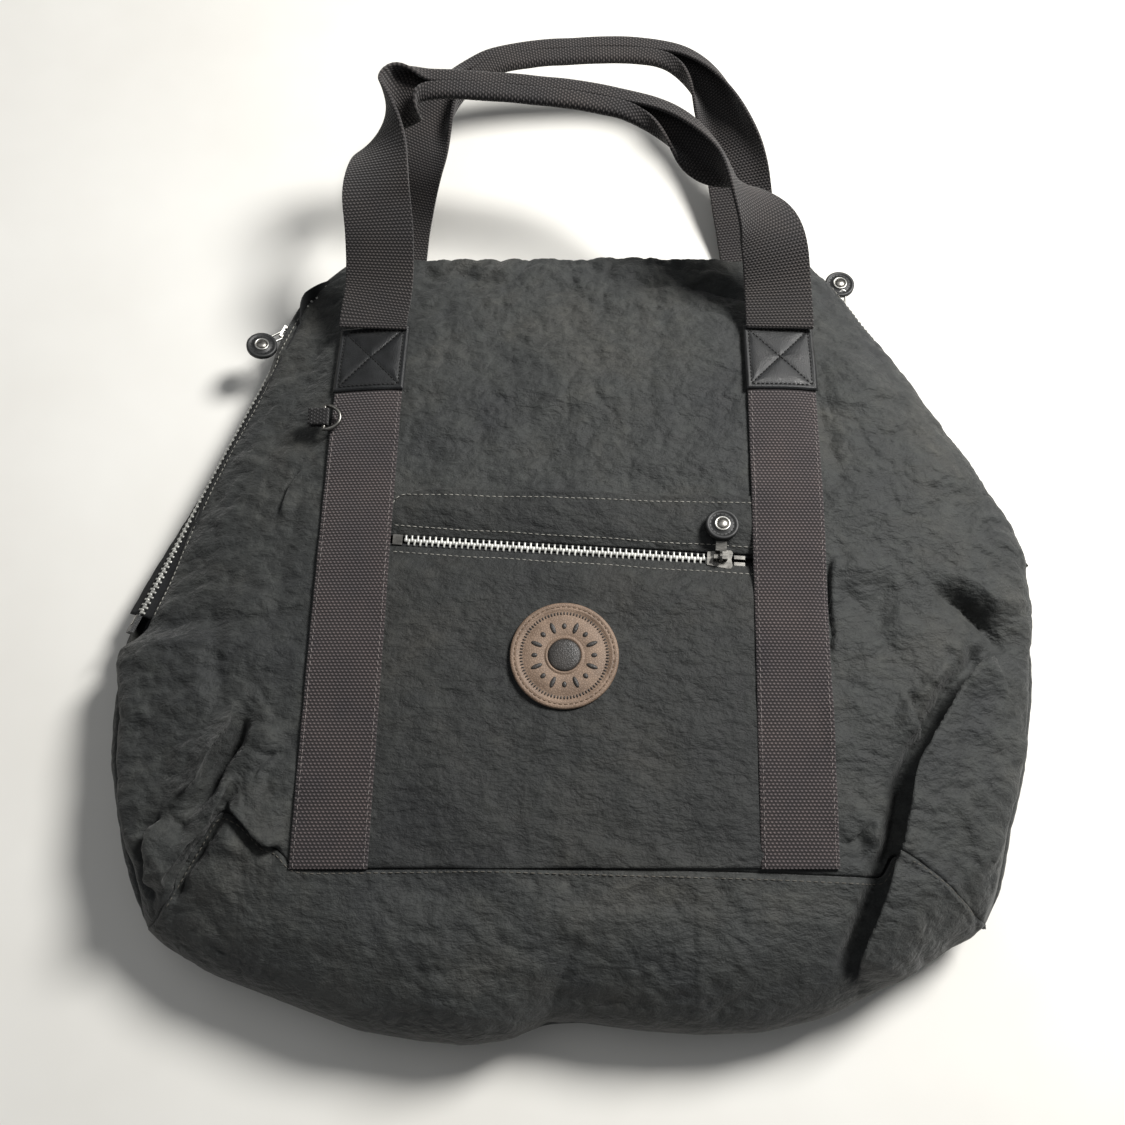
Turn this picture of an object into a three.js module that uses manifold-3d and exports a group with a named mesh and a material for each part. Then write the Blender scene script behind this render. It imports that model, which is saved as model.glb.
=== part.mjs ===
// A soft holdall lying slack on its back: a nylon shell with webbing handles, a zipped front pocket
// and a main zip that runs from one side, over the open mouth, to the other side.
// Millimetres, +Z up. X runs across the bag, +Y from the base towards the mouth.
// The front face looks up, the back rests on the floor at z = 0.
import * as THREE from "three";
import { mergeVertices } from "three/addons/utils/BufferGeometryUtils.js";
import Module from "manifold-3d";

// ---- driving dimensions --------------------------------------------------------------------------

const WALL = 2; // shell wall
const LINING_INSET = 9.5;
const LINING_WALL = 0.8;
const SEAM_GAP = 0.4; // between panels that are sewn edge to edge
const LAYER_GAP = 0.5; // between stacked layers

const BASE_SEAM_Y = -171;
const MOUTH_Y = 198;
const LINING_TOP_Y = 166;

// Outline and heights of the slack shell, each as [y, value] pairs.
const LEFT_EDGE = [
  [-259, -50], [-255, -92], [-248, -122], [-239, -146], [-225, -186], [-205, -218], [-180, -233],
  [-150, -246], [-113, -253], [-79, -255], [-50, -253], [-31, -248], [150, -175], [173, -166],
  [186, -155], [198, -140], [230, -125],
];
const RIGHT_EDGE = [
  [-259, 30], [-255, 90], [-248, 125], [-239, 150], [-225, 175], [-205, 212], [-180, 231],
  [-150, 240], [-113, 253], [-79, 260], [-50, 265], [-4, 267], [166, 172], [180, 164],
  [190, 160], [198, 153], [230, 138],
];
const CROWN = [
  [-259, 34], [-255, 42], [-248, 50], [-239, 56], [-225, 62], [-205, 66], [-150, 66], [-79, 64],
  [0, 62], [60, 59], [100, 55], [142, 46], [175, 37], [198, 30], [230, 28],
];
const RIM = [[-259, 26], [-205, 26], [-31, 22], [150, 15], [198, 13], [230, 13]];
const FLOOR = [
  [-259, 18], [-255, 10], [-248, 5], [-239, 2], [-225, 0], [-176, 0], [-171, 3], [90, 5.2],
  [230, 5.2],
];
const SECTION_POWER = 4; // how flat the crown is across the bag
const EDGE_POWER = 3; // how upright the side walls are
const SECTION_STEPS = 12;

const WEBBING_W = 40;
const WEBBING_T = 2.2;
const PATCH = { half: 20.4, low: 97, high: 142, t: 1.8 };
const STRAP_X = { left: [[-171, -121], [198, -114]], right: [[-171, 117], [198, 127]] };

const TAPE = { outer: 10, half: 0.4 };
const TEETH = { outer: 3, half: 1.3, pitch: 3.3, width: 1.3, reach: -1 };
const SLIDER = { halfLength: 7, halfWidth: 5.25, plate: 1.2, inside: 1.6 };
const BRIDGE = { halfLength: 3.8, leg: 1.2, halfWidth: 1.1, low: 5.6, high: 6.8 };
const DISC = { r: 9.3, t: 3.2, centre: 17.9 };

const POCKET = { top: 30, zipLength: 200, zipHalfSlot: 6.3, sheet: 0.6 };
const POCKET_ZIP = { start: [-99, 4.7], end: [101, -8.5], sink: 4.4, sliderAt: 183 };

const LEFT_ZIP = { start: [-248, -31], end: [-175, 150], lean: 30, inward: 3.5, lift: 6 };
const RIGHT_ZIP = { start: [267, -4], end: [172, 166], lean: -10, inward: 4, lift: 0 };

// ---- helpers -------------------------------------------------------------------------------------

const wasm = await Module();
wasm.setup();
const V = (x, y, z) => new THREE.Vector3(x, y, z);
const rad = THREE.MathUtils.degToRad;
const bag = new THREE.Group();

function along(table, y) {
  const last = table.length - 1;
  if (y <= table[0][0]) return table[0][1];
  for (let i = 0; i < last; i++) {
    const [y0, v0] = table[i];
    const [y1, v1] = table[i + 1];
    if (y <= y1) return v0 + ((v1 - v0) * (y - y0)) / (y1 - y0);
  }
  return table[last][1];
}

// A closed body through rings of equal length, capped at both ends, or joined end to end as a loop.
function loft(rings, loop = false) {
  const n = rings[0].length;
  const points = rings.flat();
  const faces = [];
  const bands = loop ? rings.length : rings.length - 1;
  for (let r = 0; r < bands; r++) {
    const next = ((r + 1) % rings.length) * n;
    for (let i = 0; i < n; i++) {
      const j = (i + 1) % n;
      faces.push(r * n + i, r * n + j, next + j, r * n + i, next + j, next + i);
    }
  }
  if (!loop) {
    for (const [ring, start, flip] of [[rings[0], 0, true], [rings.at(-1), points.length - n, false]]) {
      const middle = points.length;
      points.push(ring.reduce((sum, p) => sum.add(p), V(0, 0, 0)).divideScalar(n));
      for (let i = 0; i < n; i++) {
        const [a, b] = [start + i, start + ((i + 1) % n)];
        faces.push(middle, flip ? b : a, flip ? a : b);
      }
    }
  }
  const geometry = new THREE.BufferGeometry().setFromPoints(points).setIndex(faces);
  return signedVolume(geometry) < 0 ? turnedOut(geometry) : geometry;
}

function signedVolume(geometry) {
  const p = geometry.getAttribute("position");
  const index = geometry.index.array;
  const [a, b, c] = [V(), V(), V()];
  let sum = 0;
  for (let i = 0; i < index.length; i += 3) {
    a.fromBufferAttribute(p, index[i]);
    b.fromBufferAttribute(p, index[i + 1]);
    c.fromBufferAttribute(p, index[i + 2]);
    sum += a.dot(b.cross(c));
  }
  return sum / 6;
}

function turnedOut(geometry) {
  const index = Array.from(geometry.index.array);
  for (let i = 0; i < index.length; i += 3) [index[i + 1], index[i + 2]] = [index[i + 2], index[i + 1]];
  return geometry.setIndex(index);
}

function solid(geometry) {
  const bare = new THREE.BufferGeometry();
  bare.setAttribute("position", geometry.getAttribute("position"));
  if (geometry.index) bare.setIndex(geometry.index);
  const merged = mergeVertices(bare, 1e-4);
  return new wasm.Manifold(
    new wasm.Mesh({
      numProp: 3,
      vertProperties: Float32Array.from(merged.getAttribute("position").array),
      triVerts: Uint32Array.from(merged.index.array),
    }),
  );
}

function geometryOf(manifold) {
  const mesh = manifold.getMesh();
  const geometry = new THREE.BufferGeometry();
  geometry.setAttribute("position", new THREE.BufferAttribute(mesh.vertProperties, 3));
  geometry.setIndex(new THREE.BufferAttribute(mesh.triVerts, 1));
  geometry.computeVertexNormals();
  return geometry;
}

function block(x0, x1, y0, y1, z0, z1) {
  const geometry = new THREE.BoxGeometry(x1 - x0, y1 - y0, z1 - z0);
  return geometry.translate((x0 + x1) / 2, (y0 + y1) / 2, (z0 + z1) / 2);
}

const joined = (...geometries) => geometries.map(solid).reduce((a, b) => a.add(b));

// A sheet over the (x, y) plane between two height functions.
function slab(ys, xLow, xHigh, zLow, zHigh, steps = 4) {
  return loft(
    ys.map((y) => {
      const xs = Array.from({ length: steps + 1 }, (_, i) => {
        return xLow(y) + ((xHigh(y) - xLow(y)) * i) / steps;
      });
      const under = xs.map((x) => V(x, y, zLow(x, y)));
      const over = xs.map((x) => V(x, y, zHigh(x, y))).reverse();
      return [...under, ...over];
    }),
  );
}

// A flat strip through stations {p, b, n}: its section spans b0..b1 across and n0..n1 through.
function strip(stations, b0, b1, n0, n1) {
  return loft(
    stations.map((s) => {
      const inner = s.inner ?? b0;
      const corners = [[inner, n0], [b1, n0], [b1, n1], [inner, n1]];
      return corners.map(([b, n]) => s.p.clone().addScaledVector(s.b, b).addScaledVector(s.n, n));
    }),
  );
}

const FINISH = {
  nylon: { color: 0x3b3e3e, roughness: 0.75, metalness: 0 },
  lining: { color: 0x2b2d2e, roughness: 0.8, metalness: 0 },
  webbing: { color: 0x453f41, roughness: 0.9, metalness: 0 },
  leather: { color: 0x1c2022, roughness: 0.45, metalness: 0 },
  tape: { color: 0x222425, roughness: 0.85, metalness: 0 },
  teeth: { color: 0xd4d4cc, roughness: 0.4, metalness: 0.1 },
  metal: { color: 0x8f9190, roughness: 0.3, metalness: 1 },
  rubber: { color: 0x17191a, roughness: 0.6, metalness: 0 },
  badge: { color: 0x8b7764, roughness: 0.7, metalness: 0 },
};

function add(name, geometry, finish, parent = bag) {
  const shape = geometry.isBufferGeometry ? geometry : geometryOf(geometry);
  const mesh = new THREE.Mesh(shape, new THREE.MeshStandardMaterial(FINISH[finish]));
  mesh.name = name;
  parent.add(mesh);
  return mesh;
}

// A group whose local x, y and z axes are the given world directions.
function placed(origin, x, y, z) {
  const group = new THREE.Group();
  group.quaternion.setFromRotationMatrix(new THREE.Matrix4().makeBasis(x, y, z));
  group.position.copy(origin);
  bag.add(group);
  return group;
}

// ---- shell ---------------------------------------------------------------------------------------

function section(y, inset) {
  const left = along(LEFT_EDGE, y) + inset;
  const right = along(RIGHT_EDGE, y) - inset;
  return {
    middle: (left + right) / 2,
    half: (right - left) / 2,
    crown: along(CROWN, y) - inset,
    rim: along(RIM, y),
    floor: along(FLOOR, y) + inset,
  };
}

function fullness(u) {
  return Math.pow(Math.max(0, 1 - Math.abs(u) ** SECTION_POWER), 1 / EDGE_POWER);
}

function frontZ(x, y, inset = 0) {
  const s = section(y, inset);
  return s.rim + (s.crown - s.rim) * fullness((x - s.middle) / s.half);
}

function backZ(x, y, inset = 0) {
  const s = section(y, inset);
  return s.rim - (s.rim - s.floor) * fullness((x - s.middle) / s.half);
}

function pillow(inset, ys) {
  const us = Array.from({ length: SECTION_STEPS + 1 }, (_, i) => Math.cos((Math.PI * i) / SECTION_STEPS));
  return loft(
    ys.map((y) => {
      const s = section(y, inset);
      const at = (u, z) => V(s.middle + u * s.half, y, z(s.middle + u * s.half, y, inset));
      return [...us.map((u) => at(u, frontZ)), ...us.slice(1, -1).reverse().map((u) => at(u, backZ))];
    }),
  );
}

const shellYs = [
  -259, -255, -248, -239, -225, -205, -180, -171, -150, -113, -79, -50, -31, -4, 60, 100, 142, 150,
  166, 175, 186, 198,
];
const innerYs = [-252, -248, ...shellYs.slice(3, -1), 198, 215];

function shellSolid() {
  return solid(pillow(0, shellYs)).subtract(solid(pillow(WALL, innerYs)));
}

// Everything below the side seams, as a prism along x under the rim line.
function belowRim(gap) {
  const shape = new THREE.Shape();
  shape.moveTo(BASE_SEAM_Y - 20, -20);
  shape.lineTo(MOUTH_Y + 20, -20);
  const rimYs = [MOUTH_Y + 20, 198, 150, -31, BASE_SEAM_Y - 20];
  rimYs.forEach((y) => shape.lineTo(y, along(RIM, y) + gap));
  const prism = new THREE.ExtrudeGeometry(shape, { depth: 700, bevelEnabled: false });
  prism.applyMatrix4(new THREE.Matrix4().makeBasis(V(0, 1, 0), V(0, 0, 1), V(1, 0, 0)));
  return solid(prism.translate(-350, 0, 0));
}

// ---- main zip path -------------------------------------------------------------------------------

// Each station lies in the plan outline, has an outward direction there, and leans by phi from the
// vertical (0) to flat under the mouth's edge (90).
function station(x, y, z, out, phi, side) {
  const o = V(out[0], out[1], 0).normalize();
  const b = V(0, 0, side * Math.cos(rad(phi))).addScaledVector(o, Math.sin(rad(phi)));
  const travel = V(-o.y, o.x, 0).multiplyScalar(-1);
  return { p: V(x, y, z), b, n: b.clone().cross(travel).multiplyScalar(side) };
}

// More stations between the given ones, so that a thin strip twists in small steps.
function refined(stations, steps) {
  const made = [stations[0]];
  for (let i = 1; i < stations.length; i++) {
    const [from, to] = [stations[i - 1], stations[i]];
    const turn = from.b.angleTo(to.b) + from.n.angleTo(to.n);
    const pieces = turn > 0.1 ? steps : 1;
    for (let k = 1; k <= pieces; k++) {
      const t = k / pieces;
      const b = from.b.clone().lerp(to.b, t).normalize();
      const n = from.n.clone().lerp(to.n, t).projectOnPlane(b).normalize();
      made.push({ ...to, p: from.p.clone().lerp(to.p, t), b, n });
    }
  }
  return made;
}

function zipEnds(zip) {
  const [start, end] = [zip.start, zip.end].map(([x, y]) => {
    return V(x - Math.sign(x) * zip.inward, y, along(RIM, y) + zip.lift);
  });
  const travel = end.clone().sub(start).normalize();
  const outward = V(travel.y, -travel.x, 0).normalize();
  if (outward.x * zip.start[0] < 0) outward.negate();
  return { start, end, travel, outward };
}

const leftEnds = zipEnds(LEFT_ZIP);
const rightEnds = zipEnds(RIGHT_ZIP);

// One side of the main zip, from the left end over the mouth to the right end.
// side is 1 for the row on the front panel and -1 for the row on the back panel.
function mainRow(side, open = {}) {
  const under = WALL + 2;
  const topZ = (x) => (side > 0 ? frontZ(x, 197) - under : backZ(x, 190) + under);
  const L = leftEnds;
  const R = rightEnds;
  const lo = [L.outward.x, L.outward.y];
  const ro = [R.outward.x, R.outward.y];
  const leftPhi = -side * LEFT_ZIP.lean;
  const rightPhi = -side * RIGHT_ZIP.lean;
  const shift = (from, d) => from.clone().addScaledVector(L.travel, d);
  const opened = (s) => ({ ...s, ...open });
  const stations = [
    station(L.start.x, L.start.y, L.start.z, lo, leftPhi, side),
    station(...shift(L.end, -4).toArray(), lo, leftPhi, side),
    opened(station(...shift(L.end, -2).toArray(), lo, leftPhi, side)),
    opened(station(...shift(L.end, 8).toArray(), lo, leftPhi, side)),
    opened(station(-158, 171, 19 + side * 4, [-0.86, 0.5], leftPhi + (90 - leftPhi) * 0.5, side)),
    opened(station(-143, 179, 17 + side * 3, [-0.6, 0.8], leftPhi + (90 - leftPhi) * 0.85, side)),
  ];
  for (const x of [-128, -95, -50, 7, 65, 108, 140]) {
    stations.push(opened(station(x, 184, topZ(x), [0, 1], 90, side)));
  }
  const back = (d) => R.end.clone().addScaledVector(R.travel, d);
  stations.push(
    opened(station(153, 175, 17 + side * 3.5, [0.6, 0.8], rightPhi + (90 - rightPhi) * 0.7, side)),
    opened(station(...back(8).toArray(), ro, rightPhi, side)),
    opened(station(...back(-2).toArray(), ro, rightPhi, side)),
    station(...back(-4).toArray(), ro, rightPhi, side),
    station(R.start.x, R.start.y, R.start.z, ro, rightPhi, side),
  );
  return refined(stations, 5);
}

// The space the side zips need in the panels: a wide slot along each side and over the shoulders.
function zipSlot(ends, zip) {
  const lean = -zip.lean;
  const out = [ends.outward.x, ends.outward.y];
  const from = ends.start.clone().addScaledVector(ends.travel, -12);
  const to = ends.end.clone().addScaledVector(ends.travel, 6);
  const corner = V(to.x * 0.8, MOUTH_Y + 20, to.z);
  const turn = [Math.sign(out[0]) * 0.7, 0.7];
  return solid(
    strip(
      [
        station(...from.toArray(), out, lean, 1),
        station(...to.toArray(), out, lean, 1),
        station(...corner.toArray(), turn, lean, 1),
      ],
      -TAPE.outer - 0.9, TAPE.outer + 0.9, -10, 16,
    ),
  );
}

const zipSlots = zipSlot(leftEnds, LEFT_ZIP).add(zipSlot(rightEnds, RIGHT_ZIP));

// ---- pocket zip frame ----------------------------------------------------------------------------

const pocketStart = V(...POCKET_ZIP.start, frontZ(0, -2) - POCKET_ZIP.sink);
const pocketTravel = V(...POCKET_ZIP.end, pocketStart.z).sub(pocketStart).normalize();
const up = V(0, 0, 1);
const pocketAcross = up.clone().cross(pocketTravel);
const pocketSlot = (beyond = 0) => {
  const h = POCKET.zipHalfSlot;
  const cut = block(-beyond, POCKET.zipLength + beyond, -h, h, -5, 20);
  const matrix = new THREE.Matrix4().makeBasis(pocketTravel, pocketAcross, up).setPosition(pocketStart);
  return solid(cut.applyMatrix4(matrix));
};

// ---- panels --------------------------------------------------------------------------------------

function buildShell() {
  const shell = shellSolid();
  const half = SEAM_GAP / 2;
  const upper = solid(block(-400, 400, BASE_SEAM_Y + half, MOUTH_Y + 30, -50, 150));
  const lower = solid(block(-400, 400, -400, BASE_SEAM_Y - half, -50, 150));
  const body = shell.intersect(upper).subtract(zipSlots);
  add("front_panel", body.subtract(belowRim(half)).subtract(pocketSlot()), "nylon");
  add("back_panel", body.intersect(belowRim(-half)), "nylon");
  add("base_panel", shell.intersect(lower), "nylon");
}

function buildLining() {
  const ys = [-246, -239, -225, -205, -171, -113, -50, -4, 60, 100, 142, LINING_TOP_Y];
  const outside = solid(pillow(LINING_INSET, ys));
  const inside = solid(pillow(LINING_INSET + LINING_WALL, [-244, ...ys.slice(1, -1), LINING_TOP_Y + 5]));
  add("lining", outside.subtract(inside), "lining");
}

const strapX = (side, y) => along(STRAP_X[side], y);

function buildPocket() {
  const low = (x, y) => frontZ(x, y) + LAYER_GAP;
  const high = (x, y) => low(x, y) + POCKET.sheet;
  const left = (y) => strapX("left", y) + WEBBING_W / 2 + SEAM_GAP;
  const right = (y) => strapX("right", y) - WEBBING_W / 2 - SEAM_GAP;
  const upperYs = [-20, -4, 10, 20, POCKET.top];
  const lowerYs = [BASE_SEAM_Y + 1, -150, -113, -79, -50, -31, -4, 5];
  const slot = pocketSlot(8);
  const aboveZip = solid(slab(upperYs, left, right, low, high, 8)).subtract(slot);
  const belowZip = solid(slab(lowerYs, left, right, low, high, 8)).subtract(slot);
  const side = (body, keepUpper) => {
    const pieces = body.decompose();
    const middleY = (m) => (m.boundingBox().min[1] + m.boundingBox().max[1]) / 2;
    return pieces.sort((a, b) => middleY(a) - middleY(b)).at(keepUpper ? -1 : 0);
  };
  add("pocket_facing", side(aboveZip, true), "nylon");
  add("pocket_panel", side(belowZip, false), "nylon");
  const bagLow = (x, y) => frontZ(x, y) - 8.6;
  const bagHigh = (x, y) => bagLow(x, y) + POCKET.sheet;
  const bagYs = [-150, -113, -79, -50, -4, 15, 25];
  add("pocket_bag", slab(bagYs, () => -95, () => 95, bagLow, bagHigh, 6), "lining");
}

// ---- webbing, patches, handles -------------------------------------------------------------------

const strapYs = [BASE_SEAM_Y + 1, -150, -113, -79, -50, -31, -4, 60, 100, 142];
const patchYs = [PATCH.low, 100, 120, PATCH.high];
const frontPatchLow = (x, y) => frontZ(x, y) + 2 * LAYER_GAP + WEBBING_T;

function buildStraps(side) {
  const edge = (y, half) => strapX(side, y) + half;
  const half = WEBBING_W / 2;
  const front = (x, y) => frontZ(x, y) + LAYER_GAP;
  const back = (x, y) => backZ(x, y) - LAYER_GAP;
  const wide = [(y) => edge(y, -half), (y) => edge(y, half)];
  add(
    "webbing_front_" + side,
    slab(strapYs, ...wide, front, (x, y) => front(x, y) + WEBBING_T),
    "webbing",
  );
  add(
    "webbing_back_" + side,
    slab(strapYs, ...wide, (x, y) => back(x, y) - WEBBING_T, back),
    "webbing",
  );
  const patch = [(y) => edge(y, -PATCH.half), (y) => edge(y, PATCH.half)];
  const patchHigh = (x, y) => frontPatchLow(x, y) + PATCH.t;
  add("patch_front_" + side, slab(patchYs, ...patch, frontPatchLow, patchHigh), "leather");
  add("patch_back_" + side, slab(patchYs, ...patch, () => 0, () => PATCH.t), "leather");
}

// A handle is one length of webbing: flat legs, and a grip folded to half its width.
function handle(points, grip) {
  const curve = new THREE.CatmullRomCurve3(points.map((p) => V(...p)));
  const steps = 36;
  const rings = [];
  for (let i = 0; i <= steps; i++) {
    const t = i / steps;
    const p = curve.getPoint(t);
    const tangent = curve.getTangent(t);
    const across = tangent.clone().cross(up).normalize();
    const through = across.clone().cross(tangent).normalize();
    const ease = (a, b) => THREE.MathUtils.smoothstep(t, a, b);
    const fold = ease(grip[0] - 0.07, grip[0]) - ease(grip[1], grip[1] + 0.07);
    const half = THREE.MathUtils.lerp(WEBBING_W / 2, 10.5, fold);
    const thick = THREE.MathUtils.lerp(WEBBING_T / 2, 3.2, fold);
    const corners = [[-1, -0.6], [-0.85, -1], [0.85, -1], [1, -0.6], [1, 0.6], [0.85, 1], [-0.85, 1], [-1, 0.6]];
    rings.push(
      corners.map(([a, b]) => {
        return p.clone().addScaledVector(across, a * half).addScaledVector(through, b * thick);
      }),
    );
  }
  return loft(rings);
}

const FRONT_HANDLE = [
  [-115, 146, 53], [-114, 166, 58], [-113, 190, 73], [-113, 214, 84], [-113, 240, 90],
  [-105, 266, 92], [-84, 279, 92], [-55, 280, 92], [-22, 279, 92], [10, 274, 92], [40, 264, 92],
  [72, 250, 91], [102, 229, 87], [117, 206, 79], [122, 185, 69], [125, 165, 58], [126, 146, 53],
];
const BACK_HANDLE = [
  [-115, 146, 2.4], [-114, 172, 2.4], [-111, 206, 3.5], [-105, 240, 12], [-94, 276, 27], [-78, 310, 38],
  [-54, 332, 42], [-24, 340, 44], [11, 343, 44], [46, 342, 44], [74, 333, 42], [95, 312, 37],
  [107, 280, 28], [114, 244, 13], [121, 206, 3.5], [125, 172, 2.4], [126, 146, 2.4],
];

function buildHandles() {
  add("handle_front", handle(FRONT_HANDLE, [0.4, 0.66]), "webbing");
  add("handle_back", handle(BACK_HANDLE, [0.4, 0.62]), "webbing");
}

// ---- badge and D-ring ----------------------------------------------------------------------------

const BADGE = { x: -2, y: -63, r: 29, t: 2.2 };

function buildBadge() {
  const slope = (frontZ(BADGE.x, BADGE.y + 15) - frontZ(BADGE.x, BADGE.y - 15)) / 30;
  const profile = [
    [0, 0], [BADGE.r, 0], [BADGE.r, 1.6], [BADGE.r - 0.8, BADGE.t], [BADGE.r - 3.4, BADGE.t],
    [BADGE.r - 4, 1.5], [11, 1.5], [10.4, BADGE.t], [0, BADGE.t],
  ];
  const geometry = new THREE.LatheGeometry(profile.map(([r, z]) => new THREE.Vector2(r, z)), 36);
  const mesh = add("badge", geometry.rotateX(Math.PI / 2), "badge");
  mesh.position.set(BADGE.x, BADGE.y, frontZ(BADGE.x, BADGE.y) + LAYER_GAP + POCKET.sheet + 0.7);
  mesh.rotation.x = Math.atan(slope);
}

const RING = { y: 78, halfBar: 7.4, depth: 9, wire: 1.1, tab: 15 };

function buildRing() {
  const x = strapX("left", RING.y) - WEBBING_W / 2 - 3;
  const z = frontZ(x + 8, RING.y) + LAYER_GAP + WEBBING_T + 1.9;
  const path = [];
  for (let i = 0; i <= 10; i++) {
    const angle = -Math.PI / 2 + (Math.PI * i) / 10;
    path.push(V(x + RING.depth * Math.cos(angle), RING.y + RING.halfBar * Math.sin(angle), z));
  }
  for (const share of [0.6, 0.2, -0.2, -0.6]) path.push(V(x, RING.y + RING.halfBar * share, z));
  const rings = path.map((p, i) => {
    const before = path.at(i - 1);
    const after = path[(i + 1) % path.length];
    const across = after.clone().sub(before).normalize().cross(up).normalize();
    return Array.from({ length: 10 }, (_, k) => {
      const angle = (2 * Math.PI * k) / 10;
      return p.clone()
        .addScaledVector(across, RING.wire * Math.cos(angle))
        .addScaledVector(up, RING.wire * Math.sin(angle));
    });
  });
  add("d_ring", loft(rings, true), "metal");

  const halfTab = 5;
  const loop = (r) => new THREE.CylinderGeometry(r, r, 2 * halfTab, 20).translate(x, RING.y, z);
  const bore = new THREE.CylinderGeometry(1.5, 1.5, 4 * halfTab, 20).translate(x, RING.y, z);
  const tail = block(x - RING.tab, x, RING.y - halfTab, RING.y + halfTab, z - 2.6, z - 1.0);
  const tab = solid(loop(2.6)).add(solid(tail)).subtract(solid(bore));
  add("d_ring_tab", tab, "leather");
}

// ---- zip hardware, in a frame with x along the zip, y across it and z outward ---------------------

function sliderSolid() {
  const { halfLength: l, halfWidth: w, plate, inside } = SLIDER;
  const outline = new THREE.Shape();
  outline.moveTo(-l, -w * 0.72);
  outline.quadraticCurveTo(-l * 0.1, -w * 0.9, l * 0.45, -w);
  outline.lineTo(l * 0.85, -w);
  outline.quadraticCurveTo(l, -w * 0.9, l, -w * 0.6);
  outline.lineTo(l * 0.9, 0);
  outline.lineTo(l, w * 0.6);
  outline.quadraticCurveTo(l, w * 0.9, l * 0.85, w);
  outline.lineTo(l * 0.45, w);
  outline.quadraticCurveTo(-l * 0.1, w * 0.9, -l, w * 0.72);
  const plateAt = (z) => {
    const shape = new THREE.ExtrudeGeometry(outline, { depth: plate, bevelEnabled: false, curveSegments: 3 });
    return shape.translate(0, 0, z);
  };
  const parts = [
    plateAt(inside),
    plateAt(-inside - plate),
    block(3.4, 6, -1.2, 1.2, -inside - 0.5, inside + 0.5),
  ];
  for (const side of [-1, 1]) {
    const [b0, b1] = [w - 0.85, w].map((b) => b * side).sort((a, b) => a - b);
    parts.push(block(1, 5.6, b0, b1, inside - 0.8, inside + 0.2));
    parts.push(block(1, 5.6, b0, b1, -inside - 0.2, -inside + 0.8));
  }
  const { halfLength, leg, halfWidth, low, high } = BRIDGE;
  const top = inside + plate;
  parts.push(block(-halfLength, halfLength, -halfWidth, halfWidth, low, high));
  parts.push(block(-halfLength, -halfLength + leg, -halfWidth, halfWidth, top - 0.2, low + 0.2));
  parts.push(block(halfLength - leg, halfLength, -halfWidth, halfWidth, top - 0.2, low + 0.2));
  return joined(...parts);
}

// The pull, in its own frame: x away from the hinge, y across, z through its thickness.
function linkPlate(from) {
  return joined(block(from, 8.6, -3, 3, -0.6, 0.6), block(8.2, 12.6, -1.8, 1.8, -0.4, 0.4));
}

// An eye that passes through the bridge and lets the pull flip along the zip.
function eyeLink() {
  const hole = block(0.7, 5.4, -1.8, 1.8, -2, 2);
  return linkPlate(-0.7).subtract(solid(hole));
}

// A wire ring around the bridge, which lets the pull flip across the zip.
function ringLink() {
  const ring = [];
  for (let i = 0; i < 20; i++) {
    const a = (2 * Math.PI * i) / 20;
    const corners = [[1.85, -0.6], [2.95, -0.6], [2.95, 0.6], [1.85, 0.6]];
    ring.push(corners.map(([r, y]) => V(r * Math.cos(a), y, r * Math.sin(a))));
  }
  return linkPlate(3.4).add(joined(loft(ring, true), block(2.6, 3.6, -0.6, 0.6, -0.6, 0.6)));
}

function pullDisc() {
  const profile = [
    [2.1, -1.6], [8.6, -1.6], [9.3, -1], [9.3, 1], [8.6, 1.6], [2.1, 1.6], [2.1, -1.6],
  ];
  const disc = new THREE.LatheGeometry(profile.map(([r, z]) => new THREE.Vector2(r, z)), 32);
  disc.rotateX(Math.PI / 2).translate(DISC.centre, 0, 0);
  return solid(disc).subtract(solid(block(8, 13, -2.1, 2.1, -0.7, 0.7)));
}

function rivet() {
  const profile = [
    [0, -2.8], [2.6, -2.7], [4.1, -1.9], [1.8, -1.9], [1.8, 1.9], [4.1, 1.9], [3.9, 2.5], [2.4, 3],
    [0, 3.1],
  ];
  const body = new THREE.LatheGeometry(profile.map(([r, z]) => new THREE.Vector2(r, z)), 24);
  return body.rotateX(Math.PI / 2).translate(DISC.centre, 0, 0);
}

function addPull(name, parent, link, hingeZ, turn) {
  const pull = new THREE.Group();
  pull.position.set(turn.at, 0, hingeZ);
  pull.rotation.set(0, -rad(turn.lift), rad(turn.swing), "ZYX");
  parent.add(pull);
  add(name + "_pull_link", link, "metal", pull);
  add(name + "_pull_disc", pullDisc(), "rubber", pull);
  add(name + "_pull_rivet", rivet(), "metal", pull);
}

// A row of teeth on a cord, pointing towards -y, with the last stretch held open for the slider.
function rack(from, to, openFrom, side, phase) {
  const shape = new THREE.Shape();
  const { outer, pitch, width, reach } = TEETH;
  shape.moveTo(from, outer);
  shape.lineTo(from, 1.9);
  for (let s = from + 0.4 + phase * pitch; s + width < to; s += pitch) {
    const tip = s > openFrom ? 1.5 : reach;
    shape.lineTo(s, 1.9);
    shape.lineTo(s + 0.15, tip);
    shape.lineTo(s + width - 0.15, tip);
    shape.lineTo(s + width, 1.9);
  }
  shape.lineTo(to, 1.9);
  shape.lineTo(to, outer);
  const depth = 2 * TEETH.half;
  const comb = new THREE.ExtrudeGeometry(shape, { depth, bevelEnabled: false }).translate(0, 0, -TEETH.half);
  return side > 0 ? comb : comb.applyMatrix4(new THREE.Matrix4().makeRotationX(Math.PI));
}

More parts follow.
